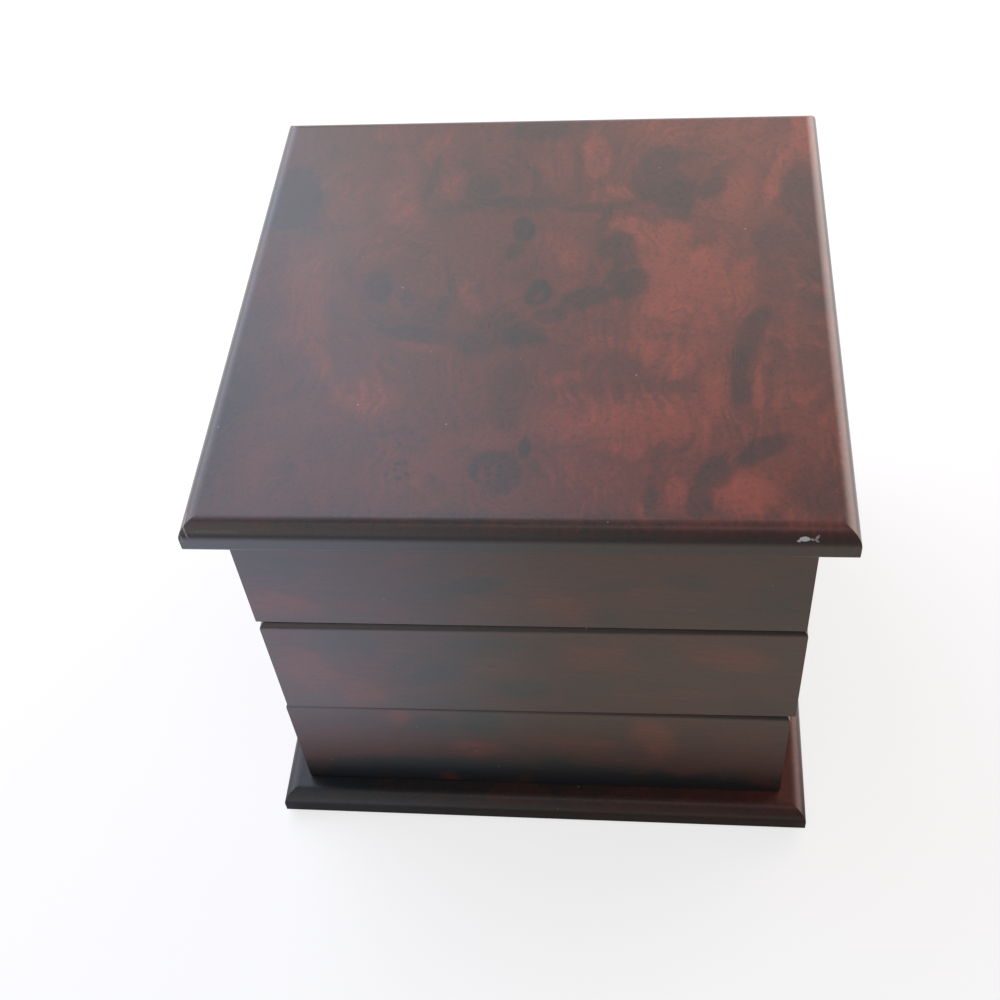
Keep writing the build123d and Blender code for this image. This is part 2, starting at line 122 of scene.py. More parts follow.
class Shader:
    """The nodes of one material or of the world."""

    def __init__(self, owner: Union[bpy.types.Material, bpy.types.World]) -> None:
        """Empties the owner's node tree.

        Args:
            owner: The material or world whose nodes are written.
        """
        owner.use_nodes = True
        self.tree = owner.node_tree
        self.tree.nodes.clear()

    def node(
        self,
        kind: str,
        settings: Optional[Mapping[str, object]] = None,
        inputs: Optional[Mapping[Union[str, int], Value]] = None,
        output: Union[str, int] = 0,
    ) -> Signal:
        """Adds a node.

        Args:
            kind: The node's type.
            settings: Its settings, set first. The stops of a ramp are (place, colour) pairs.
            inputs: A value or a link for each of its sockets, by name or number.
            output: The output that is wanted.

        Returns:
            The wanted output.
        """
        added = self.tree.nodes.new(kind)
        for name, setting in (settings or {}).items():
            if name == "stops":
                set_stops(added.color_ramp, setting)
            else:
                setattr(added, name, setting)
        for name, value in (inputs or {}).items():
            if isinstance(value, Signal):
                self.tree.links.new(value.socket, added.inputs[name])
            else:
                added.inputs[name].default_value = value
        return Signal(self, added.outputs[output] if added.outputs else None)

    def outputs(
        self,
        kind: str,
        inputs: Mapping[Union[str, int], Value],
        *names: str,
    ) -> tuple[Signal, ...]:
        """Adds a node of which several outputs are wanted, in the order of their names."""
        first = self.node(kind, None, inputs, names[0])
        return tuple(Signal(self, first.socket.node.outputs[name]) for name in names)

    def along(self, place: Value, slope: Sequence[float]) -> Signal:
        """How far a place lies along a slope: their dot product."""
        sockets = {0: place, 1: slope}
        return self.node("ShaderNodeVectorMath", {"operation": "DOT_PRODUCT"}, sockets, "Value")

    def parts(self, place: Value) -> tuple[Signal, ...]:
        """The three numbers of a place."""
        return self.outputs("ShaderNodeSeparateXYZ", {0: place}, "X", "Y", "Z")

    def maths(self, operation: str, first: Value, second: Value = 0.0) -> Signal:
        """Result of an operation on two values."""
        return self.node("ShaderNodeMath", {"operation": operation}, {0: first, 1: second})

    def vector(self, operation: str, first: Value, second: Value) -> Signal:
        """Result of an operation on two vectors, or on a vector and the factor that scales it."""
        sockets = {0: first, "Scale" if operation == "SCALE" else 1: second}
        return self.node("ShaderNodeVectorMath", {"operation": operation}, sockets)

    def millimetres(self) -> Signal:
        """Place on the piece, in millimetres."""
        return self.vector("SCALE", self.node("ShaderNodeTexCoord", output="Object"), 1 / MM)

    def ease(
        self, value: Value, start: float, end: float, low: float = 0.0, high: float = 1.0
    ) -> Signal:
        """Turns a value smoothly from low at start to high at end.

        Args:
            value: What is turned.
            start: Where the result is low.
            end: Where the result is high. It may be less than start.
            low: The result at the start.
            high: The result at the end.

        Returns:
            The eased value.
        """
        smooth = {"interpolation_type": "SMOOTHSTEP"}
        stops = {"From Min": start, "From Max": end, "To Min": low, "To Max": high}
        return self.node("ShaderNodeMapRange", smooth, {"Value": value, **stops})

    def spot(
        self,
        place: Signal,
        centre: tuple[float, float],
        half: tuple[float, float],
        turn: float,
        reach: float,
    ) -> "Spot":
        """Measures how far a place is from the middle of a turned ellipse.

        Args:
            place: The place, flat on X and Y.
            centre: The ellipse's centre.
            half: Its half sizes.
            turn: How far it is turned, in degrees.
            reach: How many of its sizes away it is still measured.

        Returns:
            The measured ellipse.
        """
        sockets = {
            "Vector": place,
            "Location": (*centre, 0.0),
            "Rotation": (0.0, 0.0, math.radians(turn)),
            "Scale": (half[0] * reach, half[1] * reach, reach),
        }
        local = self.node("ShaderNodeMapping", {"vector_type": "TEXTURE"}, sockets)
        ball = {"gradient_type": "SPHERICAL"}
        return Spot(self.node("ShaderNodeTexGradient", ball, {0: local}, output="Fac"), reach)

    def noise(
        self,
        place: Signal,
        size: float,
        detail: float = 2.0,
        roughness: float = 0.5,
        output: str = "Fac",
    ) -> Signal:
        """Noise about 0.5 with features of a given size, and finer layers in detail."""
        sockets = {"Vector": place, "Scale": 1 / size, "Detail": detail, "Roughness": roughness}
        return self.node("ShaderNodeTexNoise", {"noise_dimensions": "3D"}, sockets, output)

    def stretched(self, place: Signal, share: Sequence[float]) -> Signal:
        """Place times a share for each axis. A small share draws out what is read there."""
        return self.vector("MULTIPLY", place, share)

    def wander(self, place: Signal, size: float, reach: float) -> Signal:
        """Place pushed about, up to reach, by noise with features of a given size."""
        push = self.vector("SUBTRACT", self.noise(place, size, output="Color"), (0.5, 0.5, 0.5))
        return self.vector("ADD", place, self.vector("SCALE", push, 2 * reach))

    def ramp(self, value: Signal, stops: Sequence[tuple[float, Colour]]) -> Signal:
        """Colour of a value between the stops of a ramp."""
        return self.node("ShaderNodeValToRGB", {"stops": stops}, {"Fac": value})

    def blend(self, share: Value, first: Value, second: Value) -> Signal:
        """Mix of two colours that has this share of the second."""
        sides = {name: self.colour(side) for name, side in ((6, first), (7, second))}
        return self.node("ShaderNodeMix", {"data_type": "RGBA"}, {0: share, **sides}, output=2)

    @staticmethod
    def colour(value: Value) -> Value:
        """A colour with the fourth number that a colour socket takes."""
        return value if isinstance(value, Signal) else (*value, 1.0)

    def bump(self, height: Signal, distance: float, strength: float = 1.0) -> Signal:
        """Normal of a surface where a height of 1 stands a distance in metres above 0."""
        sockets = {"Height": height, "Distance": distance, "Strength": strength}
        return self.node("ShaderNodeBump", None, sockets)

    def surface(self, inputs: Mapping[str, Value]) -> None:
        """Ends the shader with a surface that has a value or a link for each of these sockets."""
        shade = self.node("ShaderNodeBsdfPrincipled", None, inputs)
        self.output(shade)

    def output(self, shade: Signal) -> None:
        """Links a shade to the material's output."""
        self.node("ShaderNodeOutputMaterial", None, {"Surface": shade})


@dataclass(frozen=True)
class Spot:
    """A measured ellipse: nearness is 1 at its middle and 0 at reach times its size."""

    nearness: Signal
    reach: float

    def fade(self, outer: float, inner: float, most: float) -> Signal:
        """Rises from 0 to most, from outer to inner times the ellipse's size."""
        stops = (1 - outer / self.reach, 1 - inner / self.reach)
        return self.nearness.shader.ease(self.nearness, *stops, 0.0, most)


def set_stops(ramp: bpy.types.ColorRamp, stops: Sequence[tuple[float, Colour]]) -> None:
    """Sets the stops of a colour ramp.

    Args:
        ramp: The ramp, with its two first stops.
        stops: The (place, colour) pairs in rising order, two or more.
    """
    for element, (place, colour) in zip(ramp.elements, (stops[0], stops[-1])):
        element.position = place
        element.color = (*colour, 1.0)
    for place, colour in stops[1:-1]:
        ramp.elements.new(place).color = (*colour, 1.0)


def new_material(name: str) -> tuple[bpy.types.Material, Shader]:
    """Makes an empty material.

    Args:
        name: Its name.

    Returns:
        The material and its shader.
    """
    material = bpy.data.materials.new(name)
    return material, Shader(material)


# Finishes


class Face(Enum):
    """The face of the box that a veneer's figure lies on."""

    TOP = "top"
    FRONT = "front"
    ALL = "all"


@dataclass(frozen=True)
class Mark:
    """One patch or ring of the burl's figure: a soft ellipse.

    Sizes are in millimetres and the turn in degrees. x and y are its centre on the face, width
    and height its half sizes, and tone how much redder and paler it is, or darker where negative.
    edge is the share of its size over which it fades, curl how strongly the grain runs round it,
    and eyes how many of the small dark eyes it holds.
    """

    x: float
    y: float
    width: float
    height: float
    turn: float
    tone: float
    edge: float = 0.6
    curl: float = 0.0
    eyes: float = 0.0


@dataclass(frozen=True)
class PaleEdgeMark:
    """A pale mark on the lid's front edge, in millimetres and degrees; some are painted highlights.
    """

    x: float
    z: float
    width: float
    height: float
    turn: float
    paleness: float


LID_MARKS = (
    # Red and pale areas
    Mark(-36, 76, 5.5, 12, -10, 0.24),
    Mark(-46, 54, 6, 18, 4, 0.32),
    Mark(-43, 37, 6.5, 11, 12, 0.38),
    Mark(-28, 51.5, 4.5, 9, -4, 0.30, 0.4),
    Mark(2, 56, 3, 11, 4, 0.14),
    Mark(7, 63, 3, 13, 2, 0.18, 0.5),
    Mark(17.5, 64, 4.5, 20, 3, 0.34, 0.4),
    Mark(23, 47, 6, 5.5, 0, 0.26, 0.4),
    Mark(38, 80, 14, 6, 0, 0.20, 0.8),
    Mark(66, 76, 16, 12, 0, 0.22, 0.8),
    Mark(63, 50, 5, 20, -8, 0.24, 0.7),
    Mark(76, 56, 3, 16, -20, 0.40),
    Mark(84, 77, 5, 12, 0, 0.34),
    Mark(31, 31, 9, 4.5, -22, 0.40, 0.4),
    Mark(39, 20, 8.5, 14, 12, 0.46),
    Mark(45, 25, 13, 8, -30, 0.38, 0.5),
    Mark(47, 10, 13, 18, -6, 0.42, 0.7),
    Mark(45, -6, 12, 17, 4, 0.40, 0.7),
    Mark(61, 3, 4.5, 15, -12, 0.34, 0.7),
    Mark(42, -19, 12, 12, 2, 0.44, 0.9),
    Mark(43.5, -31, 3.4, 6, -8, 0.30, 0.35),
    Mark(53.5, -38, 4, 11, 0, 0.40, 0.9),
    Mark(9, 18, 6.5, 13, 6, 0.20, 0.5),
    Mark(11, 33, 6, 6, 0, 0.12),
    Mark(-18, 0, 4, 8, 14, 0.22, 0.4),
    Mark(-6, 3, 3.4, 4.5, 0, 0.14),
    Mark(-50, 16, 6, 7, 0, 0.14, 0.5),
    Mark(-62, 46, 9, 30, -6, 0.16, 0.9),
    Mark(-68, 2, 7, 29, 12, 0.30, 0.7),
    Mark(-61, -26, 4, 12, 28, 0.32, 0.5),
    Mark(-33, -21.5, 9, 1.8, -4, 0.24, 0.5),
    Mark(-44, -42, 10, 8, -25, 0.44, 0.7),
    Mark(-54, -62, 9, 12, 0, 0.20, 0.8),
    Mark(-67, -72, 6, 11, 0, 0.18, 0.8),
    Mark(-50, 24, 9, 12, 0, 0.20, 0.8),
    Mark(-51, 82, 11, 7, 0, 0.22, 0.7),
    Mark(-9, -58, 8, 4.5, 0, 0.22),
    Mark(29, -62, 11, 6, 0, 0.32, 0.7),
    Mark(10, 5, 4.5, 4.5, 0, 0.20, 0.5),
    Mark(-49, -36, 5, 3, -10, 0.16, 0.5),
    Mark(13, -34.5, 9, 3, 14, 0.24, 0.7),
    Mark(23, -21, 8, 4, 20, 0.22, 0.5),
    Mark(24, -50, 20, 9, 3, 0.42, 1.0),
    Mark(42, -50, 11, 12, 0, 0.38, 1.0),
    Mark(22, -68, 13, 10, 0, 0.22, 0.8),
    Mark(66, -37, 2.2, 11, 2, 0.32, 0.4),
    Mark(72, -36, 1.6, 13, -3, 0.18, 0.5),
    Mark(-28, -66, 14, 12, 0, 0.12, 0.5),
    # Dark areas and bands
    Mark(0, 82, 14, 6, 0, -0.36, 0.5),
    Mark(-19, 50, 6.5, 8, 10, -0.36, 0.4, 0.5, 0.3),
    Mark(-8, 62, 3.5, 14, 0, -0.16),
    Mark(-23, 66, 2.5, 9, 0, -0.16),
    Mark(-1.5, 54, 1.8, 9, 6, -0.26, 0.5),
    Mark(2.5, 48, 2, 5, 8, -0.26, 0.5),
    Mark(11.8, 60, 1.6, 15, 2, -0.22),
    Mark(-35.5, 55, 1.8, 13, -6, -0.28, 0.5),
    Mark(-10, 42.5, 19, 4.6, 3, -0.36),
    Mark(19, 41, 13, 2.6, 4, -0.30, 0.5),
    Mark(-28, 41, 8, 2.6, 14, -0.18),
    Mark(-80, 45, 11, 17, 4, -0.60, 0.4, 0.0, 0.2),
    Mark(-75, 32, 8, 8, 0, -0.30, 0.7),
    Mark(0, -88, 76, 4.5, 0, -0.30, 0.8),
    Mark(-86, -40, 9, 38, 0, -0.36, 0.9),
    Mark(44, 53, 15, 19, 8, -0.46, 0.2, 0.9),
    Mark(49, 61, 9, 10, -30, -0.50, 0.3),
    Mark(-4, 30.5, 4, 7, 4, -0.48, 0.3, 0.0, 0.3),
    Mark(-6, 19.5, 3, 5, 0, -0.30, 0.4),
    Mark(20.5, 33, 1.8, 9, -8, -0.28, 0.4),
    Mark(26, 19, 6.5, 9, 16, -0.42, 0.3, 0.0, 0.3),
    Mark(28.5, 6, 7, 8, -10, -0.44, 0.3),
    Mark(18, -1, 10, 5, 30, -0.44, 0.4),
    Mark(8, -8, 7, 3.5, 28, -0.32, 0.5),
    Mark(2.5, 1, 4.2, 6.4, 0, -0.50, 0.3),
    Mark(-4, 9, 3.6, 4.8, 0, -0.14, 0.6, 0.0, 1.0),
    Mark(-7, -13, 8, 8, -10, -0.30, 0.5, 0.3, 0.3),
    Mark(-1, -18.5, 7, 8, 8, -0.54, 0.5),
    Mark(-14, -20, 8, 5, 0, -0.36, 0.5),
    Mark(-10, -8, 2.6, 5, -14, -0.20, 0.5, 0.0, 0.6),
    Mark(-46.5, 4.5, 4.2, 8.5, -2, -0.44, 0.4, 0.0, 0.3),
    Mark(-37.5, -1.5, 2.2, 4.4, 0, -0.38, 0.5, 0.0, 0.4),
    Mark(-50, -14, 9, 4.5, -14, -0.32, 0.5),
    Mark(-33, -16.5, 12, 3.6, -2, -0.30, 0.5),
    Mark(-57, -8, 4, 6, 24, -0.18),
    Mark(-25, 8, 2.2, 11, 10, -0.28, 0.4),
    Mark(-26, -7, 2.4, 7, -8, -0.24, 0.5),
    Mark(-4, -38, 6, 15, 4, -0.18),
    Mark(30, -28, 10, 4.5, -30, -0.14, 0.7),
    Mark(38, -37, 12, 3, -8, -0.16, 0.7),
    Mark(86, 38, 9, 24, 16, -0.44, 0.35),
    Mark(75, 22, 9, 11, 0, -0.34, 0.4),
    Mark(76, 6, 8, 10, 8, -0.16),
    Mark(66.5, -15, 5, 11, -20, -0.44, 0.4, 0.4),
    Mark(62.5, -31, 4, 14, -6, -0.44, 0.4, 0.4),
    Mark(72.5, -22, 3, 18, -6, -0.24, 0.5),
    Mark(82, -16, 5, 20, -4, -0.16, 0.8),
    Mark(85, 6, 6, 16, 0, -0.42, 0.7),
    Mark(82, -78, 9, 11, 0, -0.36, 0.7),
    Mark(-52, -61, 9, 8, -30, -0.24, 0.5),
    Mark(-64, -74, 5, 14, -8, -0.16, 0.7),
    Mark(-35, -56, 8, 1.6, 10, -0.24, 0.5),
    Mark(-29, -59.5, 4, 4.5, 0, -0.16, 0.5, 0.0, 0.9),
    Mark(-31, -71, 4, 5, 0, -0.14, 0.5, 0.0, 0.8),
    Mark(-23, -73, 2, 3, 0, -0.20, 0.5),
    Mark(-5.5, -70, 7.6, 8.2, 0, -0.36, 0.2, 0.5, 0.4),
    Mark(2.3, -60.5, 1.7, 4.2, -12, -0.46, 0.4),
    Mark(67, -60, 9.5, 3.8, 36, -0.44, 0.35),
    Mark(54, -69, 5, 7, -34, -0.44, 0.35, 0.0, 0.3),
    Mark(50, -80, 3.6, 8, -6, -0.38, 0.4),
    Mark(43, -63, 2.2, 9, -34, -0.40, 0.4),
    Mark(37, -74, 2.4, 9, -4, -0.44, 0.4),
    # Red between the dark rays at the front right
    Mark(61, -77, 9, 8, 10, 0.36),
    Mark(56.5, -80, 3, 7, -6, 0.24, 0.4),
    Mark(43, -75, 3, 8.5, 3, 0.32, 0.4),
)

LID_RINGS = (
    # Rings and bright cores of the knots
    Mark(32.5, 56, 1.4, 9, 6, 0.16, 0.5),
    Mark(44, 52, 8.5, 12.5, 6, 0.10, 0.2),
    Mark(45, 49, 6, 9, 0, -0.16, 0.3, 0.0, 0.5),
    Mark(23, 14.5, 1.8, 2.6, 0, 0.34, 0.5),
    Mark(24.5, 4, 1.5, 2, 0, 0.18, 0.5),
    Mark(2.8, -0.5, 1.3, 2.4, 0, 0.26, 0.5),
    Mark(-42.5, 4, 17.5, 22.5, 6, -0.26, 0.18, 0.9),
    Mark(-42.5, 5, 14.2, 19, 6, 0.26, 0.2),
    Mark(-42, 3, 11, 15, 6, -0.13, 0.2),
    Mark(-42, 4, 9, 12.6, 6, 0.13, 0.25),
    Mark(-7.5, -71, 3.4, 4.8, 0, 0.24, 0.4),
    Mark(-19, 50, 9.5, 12, 8, -0.10, 0.25),
    Mark(-19, 51, 8, 10, 8, 0.10, 0.3),
    Mark(8, 19, 11.5, 20, 6, -0.12, 0.2),
    Mark(8, 19, 10, 18, 6, 0.12, 0.2),
)

UPPER_FRONT_MARKS = (
    # Patches of the top tier's front wall, seen from the front
    Mark(-72, 136, 14, 9, -10, -0.42),
    Mark(-70, 117, 17, 7, 4, 0.46),
    Mark(-30, 141, 8, 5, 20, 0.18),
    Mark(-28, 124, 10, 14, 0, -0.26),
    Mark(-50, 128, 12, 8, 0, -0.14),
    Mark(-13, 127, 9, 4, 14, -0.46, 0.5, 0.2),
    Mark(-4, 117, 8, 5, 0, 0.12),
    Mark(12, 118, 9, 10, 0, 0.28),
    Mark(27, 128, 8, 2.6, 10, -0.26),
    Mark(47, 131, 8, 4, -8, -0.34),
    Mark(40, 122, 14, 6, -6, 0.14),
    Mark(75, 122, 9, 14, 0, -0.28),
    Mark(24, 112, 6, 6, 0, -0.24),
    Mark(50, 144, 14, 5, 0, 0.10),
)

MIDDLE_FRONT_MARKS = (
    # Patches of the middle tier's front wall
    Mark(-69, 82, 10, 14, 0, 0.40),
    Mark(-54, 68, 9, 10, 10, 0.44),
    Mark(-54, 96, 11, 9, 0, -0.42),
    Mark(-33, 84, 13, 9, 8, -0.42, 0.6, 0.2),
    Mark(-14, 96, 12, 6, 6, -0.30),
    Mark(-12, 85, 11, 5, 0, 0.20),
    Mark(-1, 73, 9, 6, -6, -0.44, 0.6, 0.2),
    Mark(17, 74, 8, 8, 0, -0.24),
    Mark(-30, 66, 12, 5, 0, -0.14),
    Mark(22, 92, 13, 10, 0, 0.36),
    Mark(60, 93, 14, 7, -14, 0.44),
    Mark(42, 76, 8, 3, 0, -0.12),
    Mark(70, 66, 10, 5, 0, -0.16),
)

LOWER_FRONT_MARKS = (
    # Patches of the bottom tier's front wall, whose lower rim carries painted shade and reflection
    Mark(-45, 54, 5, 7, 10, 0.50),
    Mark(-66, 42, 13, 7, 0, 0.10),
    Mark(-34, 49, 8, 6, 0, -0.40),
    Mark(-18, 50, 8, 7, 0, -0.40),
    Mark(-20, 34, 10, 6, 0, 0.44),
    Mark(-50, 31, 14, 5, 8, 0.16),
    Mark(-13, 27, 7, 4, 0, -0.30),
    Mark(5, 25, 9, 5, 0, -0.32),
    Mark(24, 52, 9, 4, 0, -0.18),
    Mark(38, 43, 8, 14, 0, 0.54),
    Mark(14, 40, 14, 8, 0, 0.24),
    Mark(0, 42, 10, 6, 0, 0.12),
    Mark(68, 40, 14, 12, 0, 0.16),
    # Painted shade and reflection: a dark band at the wall's foot, where the base plate's ledge is
    # mirrored
    Mark(0, 9, 120, 14, 0, -1.10),
    Mark(-50, 22, 30, 5, 4, -0.60),
    Mark(6, 22, 8, 6, 0, -0.60),
)

LID_CHIPS_AND_GLINTS = (
    # Pale marks of the front edge, partly painted highlights: at the right corner, then the left
    # one
    # Chips, whose near-white paleness also paints the glint of the lifted lacquer
    PaleEdgeMark(76.1, 160.95, 1.35, 0.55, -4, 0.95),
    PaleEdgeMark(74.9, 160.6, 0.6, 0.32, 20, 0.9),
    PaleEdgeMark(78.1, 160.9, 0.6, 0.26, -14, 0.5),
    PaleEdgeMark(79.3, 161.25, 0.75, 0.30, 35, 0.5),
    PaleEdgeMark(79.3, 160.6, 0.7, 0.26, -30, 0.42),
    # A faint scuff, painted pale as the thin highlight along the edge; then two scratches on the
    # mitre
    PaleEdgeMark(-79.0, 161.1, 7.0, 0.35, 0, 0.04),
    PaleEdgeMark(-86.9, 160.8, 0.22, 2.0, 18, 0.5),
    PaleEdgeMark(-88.3, 158.8, 0.18, 1.6, 8, 0.5),
)


@dataclass(frozen=True)
class BurlVeneer:
    """Mahogany burl under satin lacquer, with its lengths in millimetres.

    The tone runs from dark to red. face is the face that the marks and rings lie on. Marks don't
    add up where they overlap, and rings do. strength is how much of them shows, and softness how
    far they fade. cloud is how strongly the broad figure varies by itself, grain how strongly the
    fine lines show, mottle the flecks and haze the grey grit. lay is how the lines run where no
    mark turns them, twist how they follow the broad figure, run how the figure is stretched, and
    shift where it is read, so that boards differ. The rim is darkened: a stain on the plates'
    moulded rims, and painted shade on the tiers' upper rims. It begins and is full at the heights
    of rim_range, and leaves the underside free. gloss is the lacquer's reflection, and half_face
    the width over which the tone reaches its painted light on the right, paler and redder. Chips
    and painted glints lie ahead of chip_and_glint_front, and fade over chip_and_glint_edge of their
    size. Only ripple_height is in metres.
    """

    name: str
    face: Face = Face.ALL
    marks: tuple[Mark, ...] = ()
    rings: tuple[Mark, ...] = ()
    chips_and_glints: tuple[PaleEdgeMark, ...] = ()
    tone: float = 0.56
    # Painted light: the tone grows paler and redder towards the right, as lit from that side
    painted_light_to_right: float = 0.0
    half_face: float = 81.2
    strength: float = 0.78
    softness: float = 1.5
    curl_reach: float = 1.9
    eyes_reach: float = 1.3
    cloud: float = 0.36
    cloud_size: float = 27.0
    grain: float = 0.50
    mottle: float = 0.36
    haze: float = 0.055
    lay: tuple[float, float, float] = (0.0, 0.0, 0.05)
    twist: float = 0.7
    run: tuple[float, float, float] = (1.0, 1.0, 1.0)
    shift: tuple[float, float, float] = (0.0, 0.0, 0.0)
    rim: float = 0.0
    rim_range: tuple[float, float] = (0.0, 0.0)
    underside: float = 0.0
    stain_and_shade_rise: tuple[float, float] = (0.3, 1.2)
    stain_and_shade_colour: Colour = (0.022, 0.0155, 0.0155)
    gloss: float = 0.6
    roughness: float = 0.315
    smear: float = 0.07
    bare_and_glint_roughness: float = 0.35
    bare_and_glint_colour: Colour = (0.90, 0.88, 0.86)
    dust: float = 0.38
    chip_and_glint_edge: float = 0.15
    chip_and_glint_front: tuple[float, float] = (-84.0, -85.0)
    ripple_height: float = 0.00004
    tone_range: float = 1.25
    tones: tuple[tuple[float, Colour], ...] = (
        (0.0, (0.016, 0.019, 0.024)),
        (0.2, (0.040, 0.025, 0.022)),
        (0.4, (0.078, 0.029, 0.023)),
        (0.6, (0.128, 0.036, 0.026)),
        (0.8, (0.215, 0.050, 0.033)),
        (1.0, (0.320, 0.066, 0.040)),
    )

    def material(self) -> bpy.types.Material:
        """Builds the material.

        Returns:
            The material.
        """
        material, shader = new_material(self.name)
        place = shader.millimetres()
        # Pale dust and chips, with painted glints and a painted highlight on the lid's front edge
        bare_and_glint = shader.maths("MAXIMUM", self._dust(shader, place), self._chips_and_glints_share(shader, place))
        wood = shader.ramp(self._tone(shader, place) * (1 / self.tone_range), self.tones)
        # The rims are darkened: a stain on the plates, and painted shade on the tiers' walls
        if self.rim:
            wood = shader.blend(self._stain_and_shade(shader, place), wood, self.stain_and_shade_colour)
        grit = (shader.noise(place, 0.6, 2.0, 0.6) - 0.5) * self.haze
        smear = (shader.noise(place, 19.0, 3.0) - 0.5) * self.smear
        height = shader.noise(place, 2.1, 2.0) * 0.5 + bare_and_glint * 0.8
        shader.surface(
            {
                "Base Color": shader.blend(bare_and_glint + grit, wood, self.bare_and_glint_colour),
                "Roughness": self.roughness + smear + bare_and_glint * self.bare_and_glint_roughness,
                "Specular IOR Level": self.gloss,
                "Normal": shader.bump(height, self.ripple_height),
            }
        )
        return material

    def _tone(self, shader: Shader, place: Signal) -> Signal:
        """Joins the figure, its lines, flecks and eyes into one tone.

        Args:
            shader: The shader.
            place: The place on the piece.

        Returns:
            The tone.
        """
        face = self._on_face(shader, place)
        bent = shader.wander(shader.wander(face, 26.0, 2.6), 7.0, 0.8)
        drift = shader.stretched(shader.vector("ADD", face, self.shift), self.run)
        broad = shader.noise(shader.wander(drift, 34.0, 13.0), self.cloud_size, 2.0)
        tone, curl, eyes = self._figure(shader, bent, broad)
        across, _, _ = shader.parts(face)
        lines = self._lines(shader, bent, curl + shader.along(face, self.lay))
        # Painted light: paler and redder towards the right, as lit from the right window
        tone = tone + across * (self.painted_light_to_right / self.half_face)
        tone = tone + (lines - 0.5) * self.grain + self._mottle(shader, drift)
        return tone - self._eyes(shader, bent) * eyes

    def _stain_and_shade(self, shader: Shader, place: Signal) -> Signal:
        """Finds the dark rims: stained on the plates, painted shade on the walls' upper rims.

        Args:
            shader: The shader.
            place: The place on the piece.

        Returns:
            The share of the dark rim.
        """
        _, _, z = shader.parts(place)
        above = shader.ease(z, *(self.underside + rise for rise in self.stain_and_shade_rise))
        return shader.ease(z, *self.rim_range, 0.0, self.rim) * above

    def _on_face(self, shader: Shader, place: Signal) -> Signal:
        """Flattens a place onto the face that the figure lies on.

        Args:
            shader: The shader.
            place: The place on the piece.

        Returns:
            The place on the face.
        """
        if self.face is Face.ALL:
            return place
        x, y, z = shader.parts(place)
        across = {"X": x, "Y": y if self.face is Face.TOP else z}
        return shader.node("ShaderNodeCombineXYZ", None, across)

    def _figure(self, shader: Shader, bent: Signal, broad: Signal) -> tuple[Signal, Signal, Signal]:
        """Adds the marks to the broad figure.

        Args:
            shader: The shader.
            bent: The place on the face, pushed about.
            broad: The broad figure.

        Returns:
            The tone, the field that the grain follows, and where the small eyes lie.
        """
        tone = (broad - 0.5) * (2 * self.cloud) + self.tone
        curl = broad * self.twist
        eyes = shader.ease(broad, 0.36, 0.28, 0.0, 0.5 if self.face is Face.ALL else 0.0)
        joined = {}
        for mark in self.marks + self.rings:
            fade = mark.edge * self.softness / 2
            curled = self.curl_reach if mark.curl else 0.0
            dotted = self.eyes_reach if mark.eyes else 0.0
            reach = max(1 + fade, curled, dotted)
            spot = shader.spot(bent, (mark.x, mark.y), (mark.width, mark.height), mark.turn, reach)
            share = spot.fade(1 + fade, 1 - fade, abs(mark.tone) * self.strength)
            sign = math.copysign(1.0, mark.tone)
            if mark in self.rings:
                tone = tone + share * sign
            elif sign in joined:
                joined[sign] = shader.maths("MAXIMUM", joined[sign], share)
            else:
                joined[sign] = share
            if mark.curl:
                curl = curl + spot.fade(self.curl_reach, 0.0, mark.curl)
            if mark.eyes:
                eyes = eyes + spot.fade(self.eyes_reach, 0.6, mark.eyes)
        for sign, share in joined.items():
            tone = tone + share * sign
        return tone, curl, eyes

    def _lines(self, shader: Shader, bent: Signal, curl: Signal) -> Signal:
        """Draws fine lines that follow the figure, as a burl's grain does round its knots.

        Args:
            shader: The shader.
            bent: The place on the face, pushed about.
            curl: The field that the lines follow.

        Returns:
            The lines, about 0.5.
        """
        drawn = shader.stretched(bent, (0.09, 0.09, 0.09))
        across = shader.node("ShaderNodeCombineXYZ", None, {"X": curl * 15.0})
        lines = shader.noise(shader.vector("ADD", drawn, across), 1.0, 2.0, 0.55) - 0.5
        shown = shader.ease(shader.noise(bent, 16.0, 1.0), 0.35, 0.65, 0.25, 1.5)
        return lines * shown + 0.5

    def _mottle(self, shader: Shader, drift: Signal) -> Signal:
        """Makes fine mottling and short dark pores.

        Args:
            shader: The shader.
            drift: The place in the burl.

        Returns:
            What they add to the tone.
        """
        moved = shader.wander(drift, 8.0, 1.4)
        fleck = shader.noise(moved, 1.6, 2.0, 0.6)
        grit = shader.noise(moved, 0.55, 1.0, 0.6)
        pores = shader.ease(fleck, 0.40, 0.27, 0.0, -0.16)
        return (fleck - 0.5) * self.mottle + (grit - 0.5) * (0.7 * self.mottle) + pores

    def _eyes(self, shader: Shader, bent: Signal) -> Signal:
        """Makes small dark dots, uneven in size.

        Args:
            shader: The shader.
            bent: The place on the face, pushed about.

        Returns:
            How dark they are.
        """
        sockets = {"Vector": bent, "Scale": 1 / 3.0, "Randomness": 0.9}
        far = shader.node("ShaderNodeTexVoronoi", {"feature": "F1"}, sockets, "Distance")
        return shader.ease(far, 0.42, 0.16, 0.0, 0.55)

    def _dust(self, shader: Shader, place: Signal) -> Signal:
        """Makes sparse pale specks of dust and small scratches.

        Args:
            shader: The shader.
            place: The place on the piece.

        Returns:
            How pale they are.
        """
        sockets = {"Vector": shader.wander(place, 1.2, 0.3), "Scale": 1 / 6.5}
        far, chosen = shader.outputs("ShaderNodeTexVoronoi", sockets, "Distance", "Color")
        few = shader.ease(shader.node("ShaderNodeSeparateColor", None, {0: chosen}), 0.66, 0.92)
        return shader.ease(far, 0.05, 0.02) * few * self.dust

